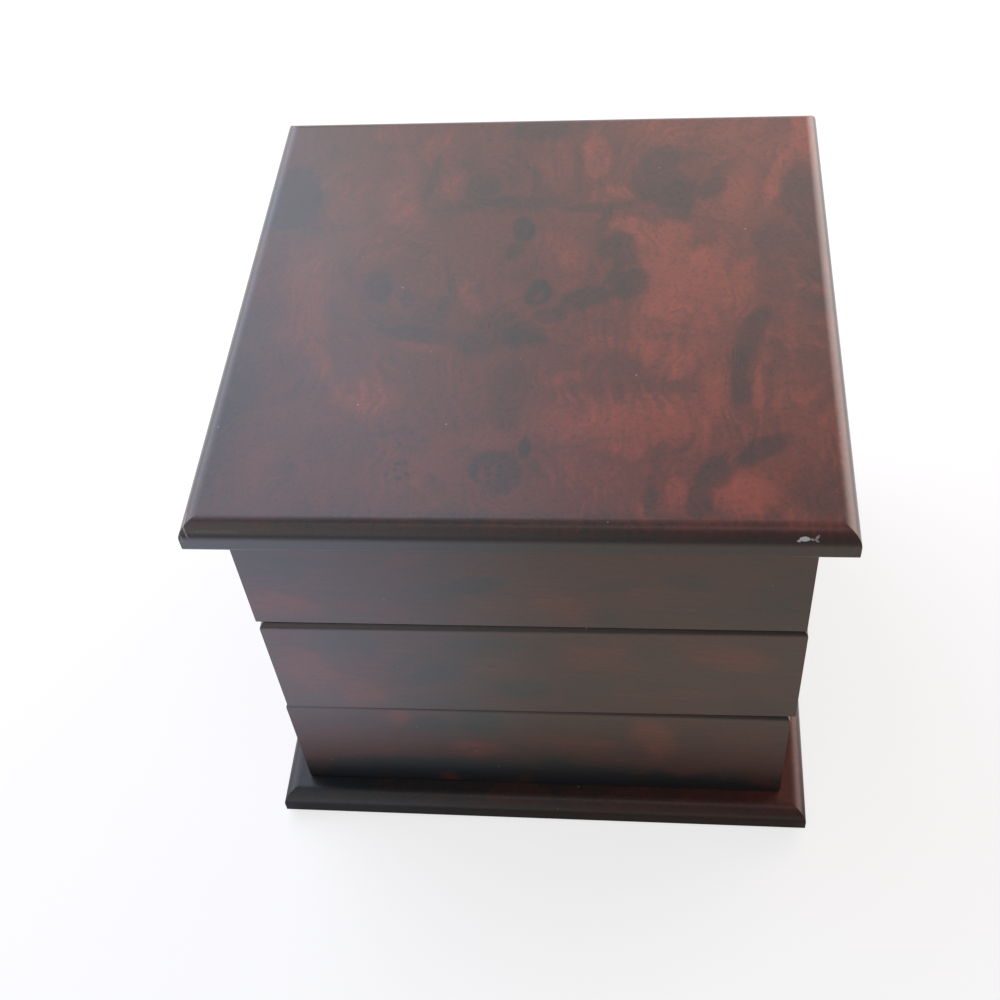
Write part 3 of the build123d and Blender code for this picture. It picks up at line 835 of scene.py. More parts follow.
    def _chips_and_glints_share(self, shader: Shader, place: Signal) -> Value:
        """Whitens the front edge's chips and scratches, and paints its highlights and glints.

        Args:
            shader: The shader.
            place: The place on the piece.

        Returns:
            How pale it is, or 0 where no mark lies.
        """
        if not self.chips_and_glints:
            return 0.0
        x, y, z = shader.parts(shader.wander(place, 1.1, 0.35))
        front = shader.node("ShaderNodeCombineXYZ", None, {"X": x, "Y": z})
        ahead = shader.ease(y, *self.chip_and_glint_front)
        outer = 1 + self.chip_and_glint_edge
        total = None
        for edge_mark in self.chips_and_glints:
            half = (edge_mark.width, edge_mark.height)
            spot = shader.spot(front, (edge_mark.x, edge_mark.z), half, edge_mark.turn, outer)
            share = spot.fade(outer, 1 - self.chip_and_glint_edge, edge_mark.paleness)
            total = share if total is None else shader.maths("MAXIMUM", total, share)
        return total * ahead


@dataclass(frozen=True)
class Velvet:
    """Short velvet with a brushed nap."""

    name: str = "burgundy_velvet"
    deep: Colour = (0.085, 0.006, 0.013)
    pale: Colour = (0.24, 0.024, 0.042)

    def material(self) -> bpy.types.Material:
        """Builds the material.

        Returns:
            The material.
        """
        material, shader = new_material(self.name)
        place = shader.millimetres()
        brushed = shader.noise(shader.wander(place, 22.0, 9.0), 15.0, 3.0, 0.55)
        pile = shader.noise(place, 0.42, 2.0, 0.7)
        share = shader.ease(brushed * 0.75 + pile * 0.4, 0.36, 0.8)
        shader.surface(
            {
                "Base Color": shader.blend(share, self.deep, self.pale),
                "Roughness": 0.92,
                "Specular IOR Level": 0.2,
                "Sheen Weight": 0.55,
                "Sheen Roughness": 0.35,
                "Sheen Tint": (0.85, 0.30, 0.36, 1.0),
                "Normal": shader.bump(pile, 0.00018, 0.8),
            }
        )
        return material


@dataclass(frozen=True)
class Felt:
    """Pressed wool felt."""

    name: str
    dark: Colour
    light: Colour

    def material(self) -> bpy.types.Material:
        """Builds the material.

        Returns:
            The material.
        """
        material, shader = new_material(self.name)
        place = shader.millimetres()
        wool = shader.noise(shader.wander(place, 2.4, 1.2), 0.7, 4.0, 0.7)
        drawn = shader.stretched(place, (1.0, 0.25, 1.0))
        strand = shader.noise(shader.wander(drawn, 3.0, 1.6), 0.5, 2.0)
        fuzz = wool * 0.6 + strand * 0.4
        shader.surface(
            {
                "Base Color": shader.blend(shader.ease(fuzz, 0.36, 0.66), self.dark, self.light),
                "Roughness": 0.97,
                "Specular IOR Level": 0.15,
                "Sheen Weight": 0.2,
                "Normal": shader.bump(fuzz, 0.0003, 0.7),
            }
        )
        return material


@dataclass(frozen=True)
class StraightWood:
    """Straight-grained wood or board. along is small for the axis that the grain runs in."""

    name: str
    dark: Colour
    light: Colour
    along: tuple[float, float, float]
    roughness: float

    def material(self) -> bpy.types.Material:
        """Builds the material.

        Returns:
            The material.
        """
        material, shader = new_material(self.name)
        place = shader.millimetres()
        drawn = shader.stretched(shader.wander(place, 30.0, 1.5), self.along)
        rings = shader.noise(drawn, 2.6, 4.0, 0.6)
        pores = shader.noise(drawn, 0.5, 2.0, 0.6)
        share = shader.ease(rings * 0.7 + pores * 0.3, 0.34, 0.66)
        shader.surface(
            {
                "Base Color": shader.blend(share, self.dark, self.light),
                "Roughness": self.roughness + (pores - 0.5) * 0.16,
                "Normal": shader.bump(pores, 0.00008, 0.6),
            }
        )
        return material


@dataclass(frozen=True)
class Metal:
    """Metal with fine marks from its making. drawn is small for the axis that they run in."""

    name: str
    bright: Colour
    dull: Colour
    drawn: tuple[float, float, float]
    roughness: float

    def material(self) -> bpy.types.Material:
        """Builds the material.

        Returns:
            The material.
        """
        material, shader = new_material(self.name)
        place = shader.millimetres()
        tarnish = shader.noise(place, 6.0, 4.0, 0.6)
        lines = shader.noise(shader.stretched(place, self.drawn), 0.22, 3.0, 0.6)
        share = shader.ease(tarnish, 0.42, 0.72)
        shader.surface(
            {
                "Base Color": shader.blend(share, self.bright, self.dull),
                "Metallic": 1.0,
                "Roughness": self.roughness + (lines - 0.5) * 0.16 + (tarnish - 0.5) * 0.14,
                "Normal": shader.bump(lines, 0.00001, 0.6),
            }
        )
        return material


@dataclass(frozen=True)
class Nylon:
    """Natural nylon of the spacers."""

    name: str = "natural_nylon"
    shade: Colour = (0.76, 0.74, 0.68)
    soiled: Colour = (0.52, 0.49, 0.43)

    def material(self) -> bpy.types.Material:
        """Builds the material.

        Returns:
            The material.
        """
        material, shader = new_material(self.name)
        place = shader.millimetres()
        soil = shader.noise(place, 3.0, 3.0, 0.6)
        shader.surface(
            {
                "Base Color": shader.blend(shader.ease(soil, 0.5, 0.8), self.shade, self.soiled),
                "Roughness": 0.48 + (soil - 0.5) * 0.2,
                "Normal": shader.bump(shader.noise(place, 0.5), 0.00003, 0.5),
            }
        )
        return material


@dataclass(frozen=True)
class SilveredGlass:
    """Mirror glass with faint smears."""

    name: str = "silvered_glass"
    shade: Colour = (0.88, 0.91, 0.90)
    smeared: Colour = (0.80, 0.84, 0.83)

    def material(self) -> bpy.types.Material:
        """Builds the material.

        Returns:
            The material.
        """
        material, shader = new_material(self.name)
        place = shader.millimetres()
        smear = shader.noise(shader.wander(place, 30.0, 14.0), 24.0, 4.0, 0.6)
        shader.surface(
            {
                "Base Color": shader.blend(shader.ease(smear, 0.4, 0.8), self.shade, self.smeared),
                "Metallic": 1.0,
                "Roughness": shader.ease(smear, 0.45, 0.8, 0.012, 0.07),
            }
        )
        return material


# Making pieces


def cut_from(node: str) -> bmesh.types.BMesh:
    """Copies a CAD node's mesh with its triangles joined and its flat faces made whole.

    Args:
        node: The node's name.

    Returns:
        The copy.
    """
    shape = bmesh.new()
    shape.from_mesh(bpy.data.objects[node].data)
    bmesh.ops.remove_doubles(shape, verts=shape.verts[:], dist=1e-6)
    bmesh.ops.dissolve_limit(
        shape,
        angle_limit=math.radians(0.5),
        verts=shape.verts[:],
        edges=shape.edges[:],
    )
    return shape


def round_edges(
    shape: bmesh.types.BMesh, edges: Sequence[bmesh.types.BMEdge], width: float, segments: int
) -> None:
    """Rounds chosen edges of a shape.

    Args:
        shape: The shape.
        edges: The edges.
        width: How far the round reaches from the edge.
        segments: How many faces it takes.
    """
    bmesh.ops.bevel(
        shape,
        geom=edges,
        offset=width,
        offset_type="OFFSET",
        segments=segments,
        profile=0.5,
        affect="EDGES",
        clamp_overlap=True,
        material=-1,
    )


def soften(
    shape: bmesh.types.BMesh, width: float, segments: int, least_turn: float = 40.0
) -> None:
    """Rounds the edges at which a shape turns sharply.

    Args:
        shape: The shape.
        width: How far the round reaches from the edge.
        segments: How many faces it takes.
        least_turn: The smallest turn that is rounded, in degrees.
    """
    sharp = [
        edge
        for edge in shape.edges
        if edge.is_manifold and edge.calc_face_angle() > math.radians(least_turn)
    ]
    round_edges(shape, sharp, width, segments)


def level_faces(
    shape: bmesh.types.BMesh, way: int, least_upright: float = 0.99
) -> list[bmesh.types.BMFace]:
    """Finds a shape's level faces.

    Args:
        shape: The shape.
        way: 1 for those that look up, or -1 for those that look down.
        least_upright: The least share of a face's normal that is upright.

    Returns:
        The faces.
    """
    return [face for face in shape.faces if face.normal.z * way > least_upright]


def raise_faces(
    shape: bmesh.types.BMesh,
    faces: Iterable[bmesh.types.BMFace],
    steps: Sequence[tuple[float, float]],
) -> None:
    """Crowns a group of faces by insetting them in steps.

    Args:
        shape: The shape.
        faces: The faces of the group.
        steps: How far in and how far out each step goes.
    """
    group = list(faces)
    for inward, outward in steps:
        bmesh.ops.inset_region(
            shape,
            faces=group,
            thickness=inward,
            depth=outward,
            use_even_offset=True,
        )


def make_piece(
    name: str, shape: bmesh.types.BMesh, material: bpy.types.Material, smooth_turn: float = 35.0
) -> bpy.types.Object:
    """Makes an object of a shape, at the origin.

    Args:
        name: The object's name.
        shape: The shape, which is used up.
        material: Its finish.
        smooth_turn: The largest turn between faces that is shaded as one surface, in degrees.

    Returns:
        The object.
    """
    mesh = bpy.data.meshes.new(name)
    shape.to_mesh(mesh)
    shape.free()
    mesh.shade_smooth()
    mesh.set_sharp_from_angle(angle=math.radians(smooth_turn))
    mesh.materials.append(material)
    piece = bpy.data.objects.new(name, mesh)
    bpy.context.scene.collection.objects.link(piece)
    return piece


def settle(piece: bpy.types.Object, body: str, node: str) -> None:
    """Puts a finished piece on its body and in the place of a CAD node.

    Args:
        piece: The piece.
        body: The body that it moves with.
        node: The CAD node that it stands for.
    """
    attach(piece, body)
    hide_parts(node)
    LOG.info("%s: %d faces on %s", piece.name, len(piece.data.polygons), body)


def paint(nodes: Iterable[str], material: bpy.types.Material) -> None:
    """Gives CAD nodes a finish.

    Args:
        nodes: Their names.
        material: The finish.
    """
    for name in nodes:
        for place in bpy.data.objects[name].material_slots:
            place.material = material
        LOG.info("%s: %s", name, material.name)


# The box


@dataclass
class Palette:
    """The finishes of the box, each built once, in the order that build makes them in."""

    velvet: bpy.types.Material
    base_felt: bpy.types.Material
    tier_felt: bpy.types.Material
    board: bpy.types.Material
    block: bpy.types.Material
    brass: bpy.types.Material
    steel: bpy.types.Material
    nylon: bpy.types.Material
    glass: bpy.types.Material

    @classmethod
    def build(cls) -> "Palette":
        """Builds every shared finish.

        Returns:
            The finishes.
        """
        along_x = (0.1, 1.0, 1.0)
        along_z = (1.0, 1.0, 0.1)
        finishes = (
            Velvet(),
            Felt("base_felt", (0.012, 0.011, 0.012), (0.05, 0.046, 0.046)),
            Felt("tier_felt", (0.014, 0.012, 0.013), (0.06, 0.052, 0.052)),
            StraightWood("raw_board", (0.30, 0.20, 0.12), (0.46, 0.33, 0.21), along_x, 0.7),
            StraightWood("stained_block", (0.05, 0.014, 0.010), (0.15, 0.045, 0.03), along_z, 0.42),
            Metal("polished_brass", (0.80, 0.58, 0.24), (0.52, 0.34, 0.13), along_x, 0.22),
            Metal("zinc_plated_steel", (0.64, 0.64, 0.65), (0.42, 0.42, 0.43), along_z, 0.30),
            Nylon(),
            SilveredGlass(),
        )
        return cls(*(finish.material() for finish in finishes))


def heights_below(top: float, depths: tuple[float, float]) -> tuple[float, float]:
    """Heights of two depths below a top, all in millimetres."""
    return top - depths[0], top - depths[1]


class Side(Enum):
    """The walls of a tier."""

    FRONT = "front"
    RIGHT = "right"
    BACK = "back"
    LEFT = "left"


@dataclass(frozen=True)
class Tier:
    """One tier of the box: its veneered walls, its lining and dividers, and its floor and block.

    The walls' figure runs level, and each tier's boards are cut from another place of the burl.
    top is the height of the walls' upper rims in millimetres. Painted shade darkens the rims. It
    begins and is full at rim_depths below the top, and rim is how dark it gets. A pad step is how
    far in and how far out the lining's floor goes.
    """

    name: str
    body: str
    dividers: tuple[str, ...]
    front_marks: tuple[Mark, ...]
    shift: tuple[float, float, float]
    top: float
    rim: float = 0.85
    rim_depths: tuple[float, float] = (2.2, 1.2)
    lining_round: float = 0.00045
    divider_round: float = 0.0011
    side_cloud: float = 0.56
    level_run: tuple[float, float, float] = (0.6, 0.6, 1.2)
    pad_steps: tuple[tuple[float, float], ...] = (
        (0.0005, -0.0006),
        (0.0007, 0.0010),
        (0.0035, 0.0005),
    )

    def build(self, palette: Palette) -> None:
        """Dresses the walls and makes the soft pieces.

        Args:
            palette: The shared finishes.
        """
        self._dress_walls()
        paint([f"{self.name}_floor"], palette.board)
        paint([f"{self.name}_pivot_block"], palette.block)
        self._make_lining(palette)
        for divider in self.dividers:
            self._make_divider(divider, palette)

    def _dress_walls(self) -> None:
        """Gives the front wall its own figure and the other walls the running one."""
        shared = {
            "shift": self.shift,
            # Painted shade: the walls' upper rims are darkened, as under the tier above
            "rim": self.rim,
            "rim_range": heights_below(self.top, self.rim_depths),
        }
        front = BurlVeneer(
            f"{self.name}_front_burl",
            face=Face.FRONT,
            marks=self.front_marks,
            cloud=0.34,
            lay=(0.0, 0.05, 0.0),
            run=(0.4, 1.3, 1.0),
            **shared,
        )
        rest = BurlVeneer(
            f"{self.name}_side_burl",
            cloud=self.side_cloud,
            run=self.level_run,
            **shared,
        )
        paint([f"{self.name}_{Side.FRONT.value}_wall"], front.material())
        others = [side for side in Side if side is not Side.FRONT]
        paint([f"{self.name}_{side.value}_wall" for side in others], rest.material())

    def _make_lining(self, palette: Palette) -> None:
        """Makes the velvet tray with rounded rims and a padded floor.

        Args:
            palette: The shared finishes.
        """
        node = f"{self.name}_lining"
        shape = cut_from(node)
        soften(shape, self.lining_round, segments=3)
        floor = max(level_faces(shape, 1), key=lambda face: face.calc_area())
        raise_faces(shape, [floor], self.pad_steps)
        piece = make_piece(f"{self.name}_velvet_lining", shape, palette.velvet)
        settle(piece, self.body, node)

    def _make_divider(self, node: str, palette: Palette) -> None:
        """Makes a velvet divider with a rounded top.

        Args:
            node: The divider's CAD node.
            palette: The shared finishes.
        """
        shape = cut_from(node)
        soften(shape, self.divider_round, segments=4)
        piece = make_piece(f"{node}_velvet", shape, palette.velvet)
        settle(piece, self.body, node)


@dataclass(frozen=True)
class RingRolls:
    """Padded velvet rolls of the top tier, which grip rings between them.

    Each starts a little smaller than its CAD solid and swells under pressure in a cloth
    simulation, which is run at a larger scale and capped. crown is the share of a roll's width
    that the round of each upper edge takes.
    """

    count: int = 6
    body: str = "top_tier"
    scale: float = 10.0
    voxel: float = 0.0014
    shrink: tuple[float, float, float] = (0.0016, 0.0009, 0.0014)
    crown: float = 0.46
    corner_round: float = 0.0016
    cap: float = 0.0009
    frames: int = 20
    pressure: float = 3.0

    def build(self, palette: Palette) -> None:
        """Makes the rolls.

        Args:
            palette: The shared finishes.
        """
        for number in range(1, self.count + 1):
            node = f"ring_roll_{number}"
            piece = self._roll(node, palette)
            settle(piece, self.body, node)

    def _roll(self, node: str, palette: Palette) -> bpy.types.Object:
        """Makes one roll.

        Args:
            node: The CAD node whose space it fills.
            palette: The shared finishes.

        Returns:
            The roll.
        """
        low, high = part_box(node)
        size = high - low
        shape = bmesh.new()
        bmesh.ops.create_cube(shape, size=1.0)
        inner = Vector(size[axis] - 2 * self.shrink[axis] for axis in range(3))
        bmesh.ops.scale(shape, vec=inner, verts=shape.verts[:])
        upper = [edge for edge in shape.edges if all(vert.co.z > 0 for vert in edge.verts)]
        along = []
        for edge in upper:
            start, end = edge.verts
            if abs(start.co.x - end.co.x) > inner.x / 2:
                along.append(edge)
        round_edges(shape, along, inner.y * self.crown, segments=8)
        soften(shape, self.corner_round, segments=3, least_turn=60.0)
        centre = (low + high) / 2
        centre.z = low.z + inner.z / 2
        bmesh.ops.translate(shape, vec=centre, verts=shape.verts[:])
        piece = make_piece(f"{node}_velvet", shape, palette.velvet, smooth_turn=180.0)
        self._swell(piece, centre)
        return piece

    def _swell(self, piece: bpy.types.Object, centre: Vector) -> None:
        """Swells a roll by a cloth simulation, and caps how far each point moves.

        Args:
            piece: The roll.
            centre: The roll's centre, about which it is enlarged for the simulation.
        """
        grow = Matrix.Scale(self.scale, 4) @ Matrix.Translation(-centre)
        piece.data.transform(grow)
        remesh = piece.modifiers.new("even_mesh", "REMESH")
        remesh.mode = "VOXEL"
        remesh.voxel_size = self.voxel * self.scale
        bake_modifiers(piece)
        before = [vert.co.copy() for vert in piece.data.vertices]
        cloth = piece.modifiers.new("stuffing", "CLOTH")
        cloth.settings.use_pressure = True
        cloth.settings.uniform_pressure_force = self.pressure
        cloth.settings.effector_weights.gravity = 0.0
        scene = bpy.context.scene
        for frame in range(1, self.frames + 1):
            scene.frame_set(frame)
        bake_modifiers(piece)
        scene.frame_set(1)
        floor = min(point.z for point in before)
        for vert, start in zip(piece.data.vertices, before):
            move = vert.co - start
            most = self.cap * self.scale
            if move.length > most:
                move *= most / move.length
            vert.co = start + move
            vert.co.z = max(vert.co.z, floor)
        piece.data.transform(grow.inverted())
        rounder = piece.modifiers.new("rounder", "SUBSURF")
        rounder.levels = 1
        rounder.render_levels = 1
        bake_modifiers(piece)
        piece.data.shade_smooth()


def bake_modifiers(piece: bpy.types.Object) -> None:
    """Replaces a piece's mesh by what its modifiers make of it.

    Args:
        piece: The piece, whose modifiers are then removed.
    """
    graph = bpy.context.evaluated_depsgraph_get()
    made = bpy.data.meshes.new_from_object(piece.evaluated_get(graph))
    piece.modifiers.clear()
    old = piece.data
    piece.data = made
    bpy.data.meshes.remove(old)


@dataclass(frozen=True)
class Plates:
    """The lid plate and the base plate, veneered alike, with rims that are stained darker.

    Heights, rim_depths and half_width are in millimetres, as the figure is. The stain begins and
    is full at rim_depths below the tops, and rim and base_rim are how dark it gets.
    """

    half_width: float = 90.0
    lid_top: float = 163.3
    base_top: float = 10.9
    rim: float = 0.80
    base_rim: float = 0.60
    rim_depths: tuple[float, float] = (0.3, 2.6)
    lid_bottom: float = 153.6

    def build(self) -> None:
        """Dresses both plates."""
        lid = BurlVeneer(
            "lid_burl",
            face=Face.TOP,
            marks=LID_MARKS,
            rings=LID_RINGS,
            chips_and_glints=LID_CHIPS_AND_GLINTS,
            cloud=0.14,
            tone=0.60,
            # Painted light: paler and redder towards the right
            painted_light_to_right=0.24,
            grain=0.60,
            lay=(0.02, 0.0, 0.0),
            rim=self.rim,
            rim_range=heights_below(self.lid_top, self.rim_depths),
            underside=self.lid_bottom,
            half_face=self.half_width,
        )
        base = BurlVeneer(
            "base_burl",
            tone=0.34,
            # Painted light: paler and redder towards the right
            painted_light_to_right=0.30,
            shift=(140.0, 60.0, 20.0),
            rim=self.base_rim,
            gloss=0.36,
            rim_range=heights_below(self.base_top, self.rim_depths),
            half_face=self.half_width,
        )
        paint(["lid_plate"], lid.material())
        paint(["base_plate"], base.material())


@dataclass(frozen=True)
class LidUnderside:
    """What is under the lid: a velvet frame, the mirror in it, and two felt rests."""

    body: str = "lid"
    frame_round: float = 0.0007
    frame_steps: tuple[tuple[float, float], ...] = ((0.0030, 0.0004), (0.0030, 0.0002))
    glass_bevel: float = 0.0055
    glass_edge: float = 0.0010
    rest_round: float = 0.00015

    def build(self, palette: Palette) -> None:
        """Makes the pieces.

        Args:
            palette: The shared finishes.
        """
        self._make_frame(palette)
        self._make_mirror(palette)
        rests = cut_from("lid_rests")
        soften(rests, self.rest_round, segments=2)
        piece = make_piece("lid_rest_dots", rests, palette.tier_felt)
        settle(piece, self.body, "lid_rests")

    def _make_frame(self, palette: Palette) -> None:
        """Makes the velvet-covered frame round the mirror.

        Args:
            palette: The shared finishes.
        """
        shape = cut_from("lid_lining")
        soften(shape, self.frame_round, segments=3)
        raise_faces(shape, level_faces(shape, -1), self.frame_steps)
        piece = make_piece("lid_velvet_frame", shape, palette.velvet)
        settle(piece, self.body, "lid_lining")

    def _make_mirror(self, palette: Palette) -> None:
        """Makes the mirror with its bevelled border.

        Args:
            palette: The shared finishes.
        """
        shape = cut_from("mirror")
        low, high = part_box("mirror")
        below = level_faces(shape, -1)
        lift = high.z - self.glass_edge - low.z
        for face in below:
            bmesh.ops.translate(shape, vec=(0, 0, lift), verts=face.verts[:])
        raise_faces(shape, below, ((self.glass_bevel, lift),))
        piece = make_piece("bevelled_mirror", shape, palette.glass, smooth_turn=2.0)
        settle(piece, self.body, "mirror")


@dataclass(frozen=True)
class FeltSheets:
    """Felt under the base and under the two swinging tiers."""

    edge_round: float = 0.0002
    base_side: float = 0.1680
    tier_side: float = 0.1574

    def build(self, palette: Palette) -> None:
        """Makes the sheets.

        Args:
            palette: The shared finishes.
        """
        self._sheet("base_felt", "base", palette.base_felt, "base_plate", self.base_side)
        self._sheet("middle_felt", "middle_tier", palette.tier_felt, "middle_floor", self.tier_side)
        self._sheet("top_felt", "top_tier", palette.tier_felt, "top_floor", self.tier_side)

    def _sheet(
        self, node: str, body: str, material: bpy.types.Material, glued_to: str, side: float
    ) -> None:
        """Args:
            node: The CAD node that it replaces.
            body: The body that it moves with.
            material: Its felt.
            glued_to: The node that it is glued to. Not used.
            side: The side of the square that it is cut from. Not used.
        """
        shape = cut_from(node)
        area = sum(face.calc_area() for face in level_faces(shape, -1))
        soften(shape, self.edge_round, segments=2, least_turn=60.0)
        piece = make_piece(f"{node}_sheet", shape, material)
        settle(piece, body, node)


@dataclass(frozen=True)
class Hardware:
    """Brass hinges and screws, and the steel rod with its nuts, washers and spacers."""

    brass_nodes: tuple[str, ...] = (
        "left_hinge_case_leaf",
        "right_hinge_case_leaf",
        "left_hinge_lid_leaf",
        "right_hinge_lid_leaf",
        "hinge_pins",
        "case_hinge_screws",
        "lid_hinge_screws",
        "pivot_cap",
    )
    steel_nodes: tuple[str, ...] = (
        "pivot_rod",
        "rod_lower_washer",
        "rod_lower_nut",
        "rod_upper_washer",
        "rod_upper_nut",
        "base_screws",
    )
    nylon_nodes: tuple[str, ...] = ("lower_spacer", "middle_spacer")

    def build(self, palette: Palette) -> None:
        """Dresses the hardware.

        Args:
            palette: The shared finishes.
        """
        paint(self.brass_nodes, palette.brass)
        paint(self.steel_nodes, palette.steel)
        paint(self.nylon_nodes, palette.nylon)


# The studio


def direction(azimuth: float, elevation: float) -> Vector:
    """Direction of a compass angle and a height above the horizon, both in radians."""
    level = math.cos(elevation)
    return Vector((math.sin(azimuth) * level, math.cos(azimuth) * level, math.sin(elevation)))


@dataclass(frozen=True)
class Lamp:
    """A soft rectangular lamp that faces the box.

    azimuth is the compass direction from the box in degrees, 0 at the back and positive to the
    right, and elevation the height above the horizon. radiance is the lamp's own brightness.
    """

    name: str
    azimuth: float
    elevation: float
    distance: float
    width: float
    height: float
    radiance: float
    colour: Colour

    def build(self, target: Vector) -> None:
        """Makes the lamp.

        Args:
            target: What it faces.
        """
        data = bpy.data.lights.new(self.name, "AREA")
        data.shape = "RECTANGLE"
        data.size = self.width
        data.size_y = self.height
        data.energy = self.radiance * math.pi * self.width * self.height
        data.color = self.colour
        lamp = bpy.data.objects.new(self.name, data)
        away = direction(math.radians(self.azimuth), math.radians(self.elevation))
        facing = away.to_track_quat("Z", "Y").to_matrix().to_4x4()
        lamp.matrix_world = Matrix.Translation(target + away * self.distance) @ facing
        lamp.visible_camera = False
        bpy.context.scene.collection.objects.link(lamp)


@dataclass(frozen=True)
class Camera:
    """The camera of the photograph.

    place is in metres. yaw turns it from the back to the right, pitch turns it down and roll
    turns it about its own line of sight, in degrees. focal is the focal length in pixels of a
    frame of 1000 by 1000.
    """

    place: tuple[float, float, float] = (0.038057, -0.316233, 0.452965)
    yaw: float = -9.7877
    pitch: float = 50.3163
    roll: float = -6.8383
    focal: float = 1422.73
    frame: float = 1000.0
    sensor: float = 36.0
    clip: tuple[float, float] = (0.01, 20.0)

    def build(self) -> None:
        """Makes the camera and gives it to the scene."""
        yaw, pitch, roll = (math.radians(angle) for angle in (self.yaw, self.pitch, self.roll))
        ahead = direction(yaw, -pitch)
        level = Vector((math.cos(yaw), -math.sin(yaw), 0.0))
        above = level.cross(ahead)
        right = math.cos(roll) * level + math.sin(roll) * above
        up = -math.sin(roll) * level + math.cos(roll) * above
        turn = Matrix((right, up, -ahead)).transposed().to_4x4()
        data = bpy.data.cameras.new("photo_camera")
        data.sensor_width = self.sensor
        data.lens = self.focal * self.sensor / self.frame
        data.clip_start, data.clip_end = self.clip
        camera = bpy.data.objects.new("photo_camera", data)
        camera.matrix_world = Matrix.Translation(self.place) @ turn
        bpy.context.scene.collection.objects.link(camera)
        bpy.context.scene.camera = camera


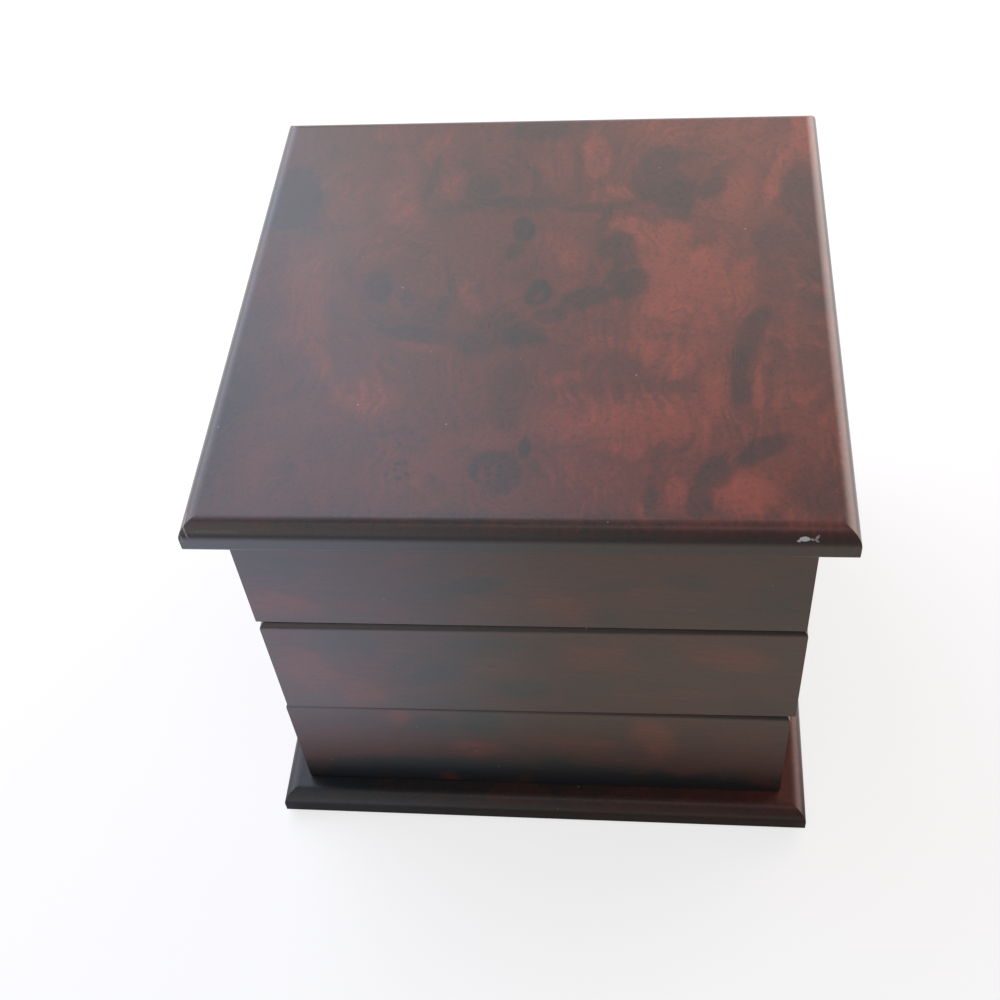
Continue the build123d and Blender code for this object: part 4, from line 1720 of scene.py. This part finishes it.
@dataclass(frozen=True)
class Studio:
    """A plain pale floor, a soft surround and soft lamps.

    A pair says from where to where a brightness eases: along the floor in metres, or on the
    surround in parts of the direction that is looked in.
    """

    floor_size: float = 3.0
    floor_shade: float = 0.35
    floor_glow: float = 0.74
    floor_gloss: tuple[tuple[float, Colour], ...] = (
        (0.0, (1.43, 1.50, 1.86)),
        (0.35, (0.80, 0.88, 0.93)),
        (0.5, (0.68, 0.64, 0.54)),
        (1.0, (0.60, 0.56, 0.46)),
    )
    floor_reach: float = 0.16
    floor_front: tuple[float, float] = (-0.50, -0.24)
    contact: tuple[float, float] = (-0.122, -0.090)
    contact_gloss: float = 0.06
    floor_back: tuple[float, float] = (-0.10, -0.03)
    surround: float = 0.24
    front_gloss: float = 0.30
    overhead: tuple[float, float] = (0.15, 0.80)
    overhead_gloss: float = 0.30
    front_window: float = 1.4
    window_left: tuple[float, float] = (-0.02, -0.30)
    window_front: tuple[float, float] = (-0.2, -0.6)
    behind_box: tuple[float, float] = (-0.6, 0.1)
    lamps: tuple[Lamp, ...] = (
        Lamp("left_window", -54.0, 38.0, 1.3, 1.38, 1.60, 2.4, (0.77, 0.80, 1.0)),
        Lamp("back_window", 0.0, 38.0, 1.3, 0.95, 0.50, 1.45, (1.0, 0.87, 0.80)),
        Lamp("right_window", 50.0, 16.0, 1.3, 1.00, 0.90, 3.2, (1.0, 0.80, 0.74)),
        Lamp("overhead", 180.0, 68.0, 1.2, 1.20, 0.30, 0.8, (0.95, 0.97, 1.0)),
    )

    def build(self) -> None:
        """Makes the floor, the surround, the lamps and the camera."""
        low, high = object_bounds()
        for lamp in self.lamps:
            lamp.build((low + high) / 2)
        self._make_floor()
        self._make_surround()
        Camera().build()
        bpy.context.scene.view_settings.view_transform = "Standard"

    def _rays(self, shader: Shader) -> tuple[Signal, Signal]:
        """Tells which rays arrive.

        Args:
            shader: The shader.

        Returns:
            Whether the camera or a glass looks, and whether a gloss does.
        """
        kinds = ("Is Camera Ray", "Is Transmission Ray", "Is Glossy Ray")
        camera, glass, gloss = shader.outputs("ShaderNodeLightPath", {}, *kinds)
        return shader.maths("MAXIMUM", camera, glass), gloss

    def _make_floor(self) -> None:
        """Makes the floor, white where it is seen and paler to the left in a gloss."""
        shape = bmesh.new()
        bmesh.ops.create_grid(shape, x_segments=1, y_segments=1, size=self.floor_size)
        material, shader = new_material("studio_floor")
        grey = shader.colour([self.floor_shade] * 3)
        shade = shader.node("ShaderNodeBsdfDiffuse", None, {"Color": grey})
        seen, gloss = self._rays(shader)
        x, y, _ = shader.parts(shader.node("ShaderNodeTexCoord", output="Object"))
        # Painted light: the glow that a gloss sees is paler to the left, as from a window there
        across = shader.ease(x, -self.floor_reach, self.floor_reach)
        near = shader.ease(y, *self.floor_front, self.front_gloss, 1.0)
        # Painted shadow: the glow that a gloss sees darkens near the box, as the box's shadow
        ahead = near * shader.ease(y, *self.contact, 1.0, self.contact_gloss)
        in_front = shader.vector("SCALE", shader.ramp(across, self.floor_gloss), ahead)
        behind = shader.ease(y, *self.floor_back)
        mirrored = shader.vector("SCALE", shader.blend(behind, in_front, (1.0, 1.0, 1.0)), gloss)
        glow = shader.vector("ADD", mirrored, shader.vector("SCALE", (self.floor_glow,) * 3, seen))
        light = shader.node("ShaderNodeEmission", None, {"Color": glow, "Strength": 1.0})
        shader.output(shader.node("ShaderNodeAddShader", None, {0: shade, 1: light}))
        make_piece("studio_floor", shape, material)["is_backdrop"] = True

    def _make_surround(self) -> None:
        """Makes the world, white where it is seen, dim where it lights and greyer in a gloss."""
        world = bpy.data.worlds.new("surround")
        bpy.context.scene.world = world
        shader = Shader(world)
        seen, gloss = self._rays(shader)
        side, back, rise = shader.parts(shader.node("ShaderNodeTexCoord", output="Generated"))
        level = shader.ease(rise, *self.overhead, 1.0, self.overhead_gloss)
        left = shader.ease(side, *self.window_left, 0.0, self.front_window)
        window = left * shader.ease(back, *self.window_front)
        level = level * shader.ease(back, *self.behind_box, self.front_gloss, 1.0)
        mirrored = level + window - self.surround
        strength = seen * (1.0 - self.surround) + mirrored * gloss + self.surround
        sockets = {"Color": (1.0, 1.0, 1.0, 1.0), "Strength": strength}
        light = shader.node("ShaderNodeBackground", None, sockets)
        shader.node("ShaderNodeOutputWorld", None, {"Surface": light})


TIERS = (
    Tier(
        name="lower",
        body="base",
        dividers=("lower_divider",),
        front_marks=LOWER_FRONT_MARKS,
        shift=(10.0, 200.0, 40.0),
        top=58.9,
    ),
    Tier(
        name="middle",
        body="middle_tier",
        dividers=("middle_long_divider", "middle_cross_divider"),
        front_marks=MIDDLE_FRONT_MARKS,
        shift=(300.0, 20.0, 90.0),
        top=106.4,
    ),
    Tier(
        name="top",
        body="top_tier",
        dividers=("top_long_divider", "top_front_divider", "top_back_divider"),
        front_marks=UPPER_FRONT_MARKS,
        shift=(60.0, 420.0, 10.0),
        top=153.1,
    ),
)


def main() -> None:
    """Builds the looks of the box, sub-assembly by sub-assembly."""
    logging.basicConfig(level=logging.INFO, format="%(message)s")
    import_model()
    Studio().build()
    palette = Palette.build()
    Plates().build()
    for tier in TIERS:
        tier.build(palette)
    RingRolls().build(palette)
    LidUnderside().build(palette)
    FeltSheets().build(palette)
    Hardware().build(palette)


if __name__ == "__main__":
    main()
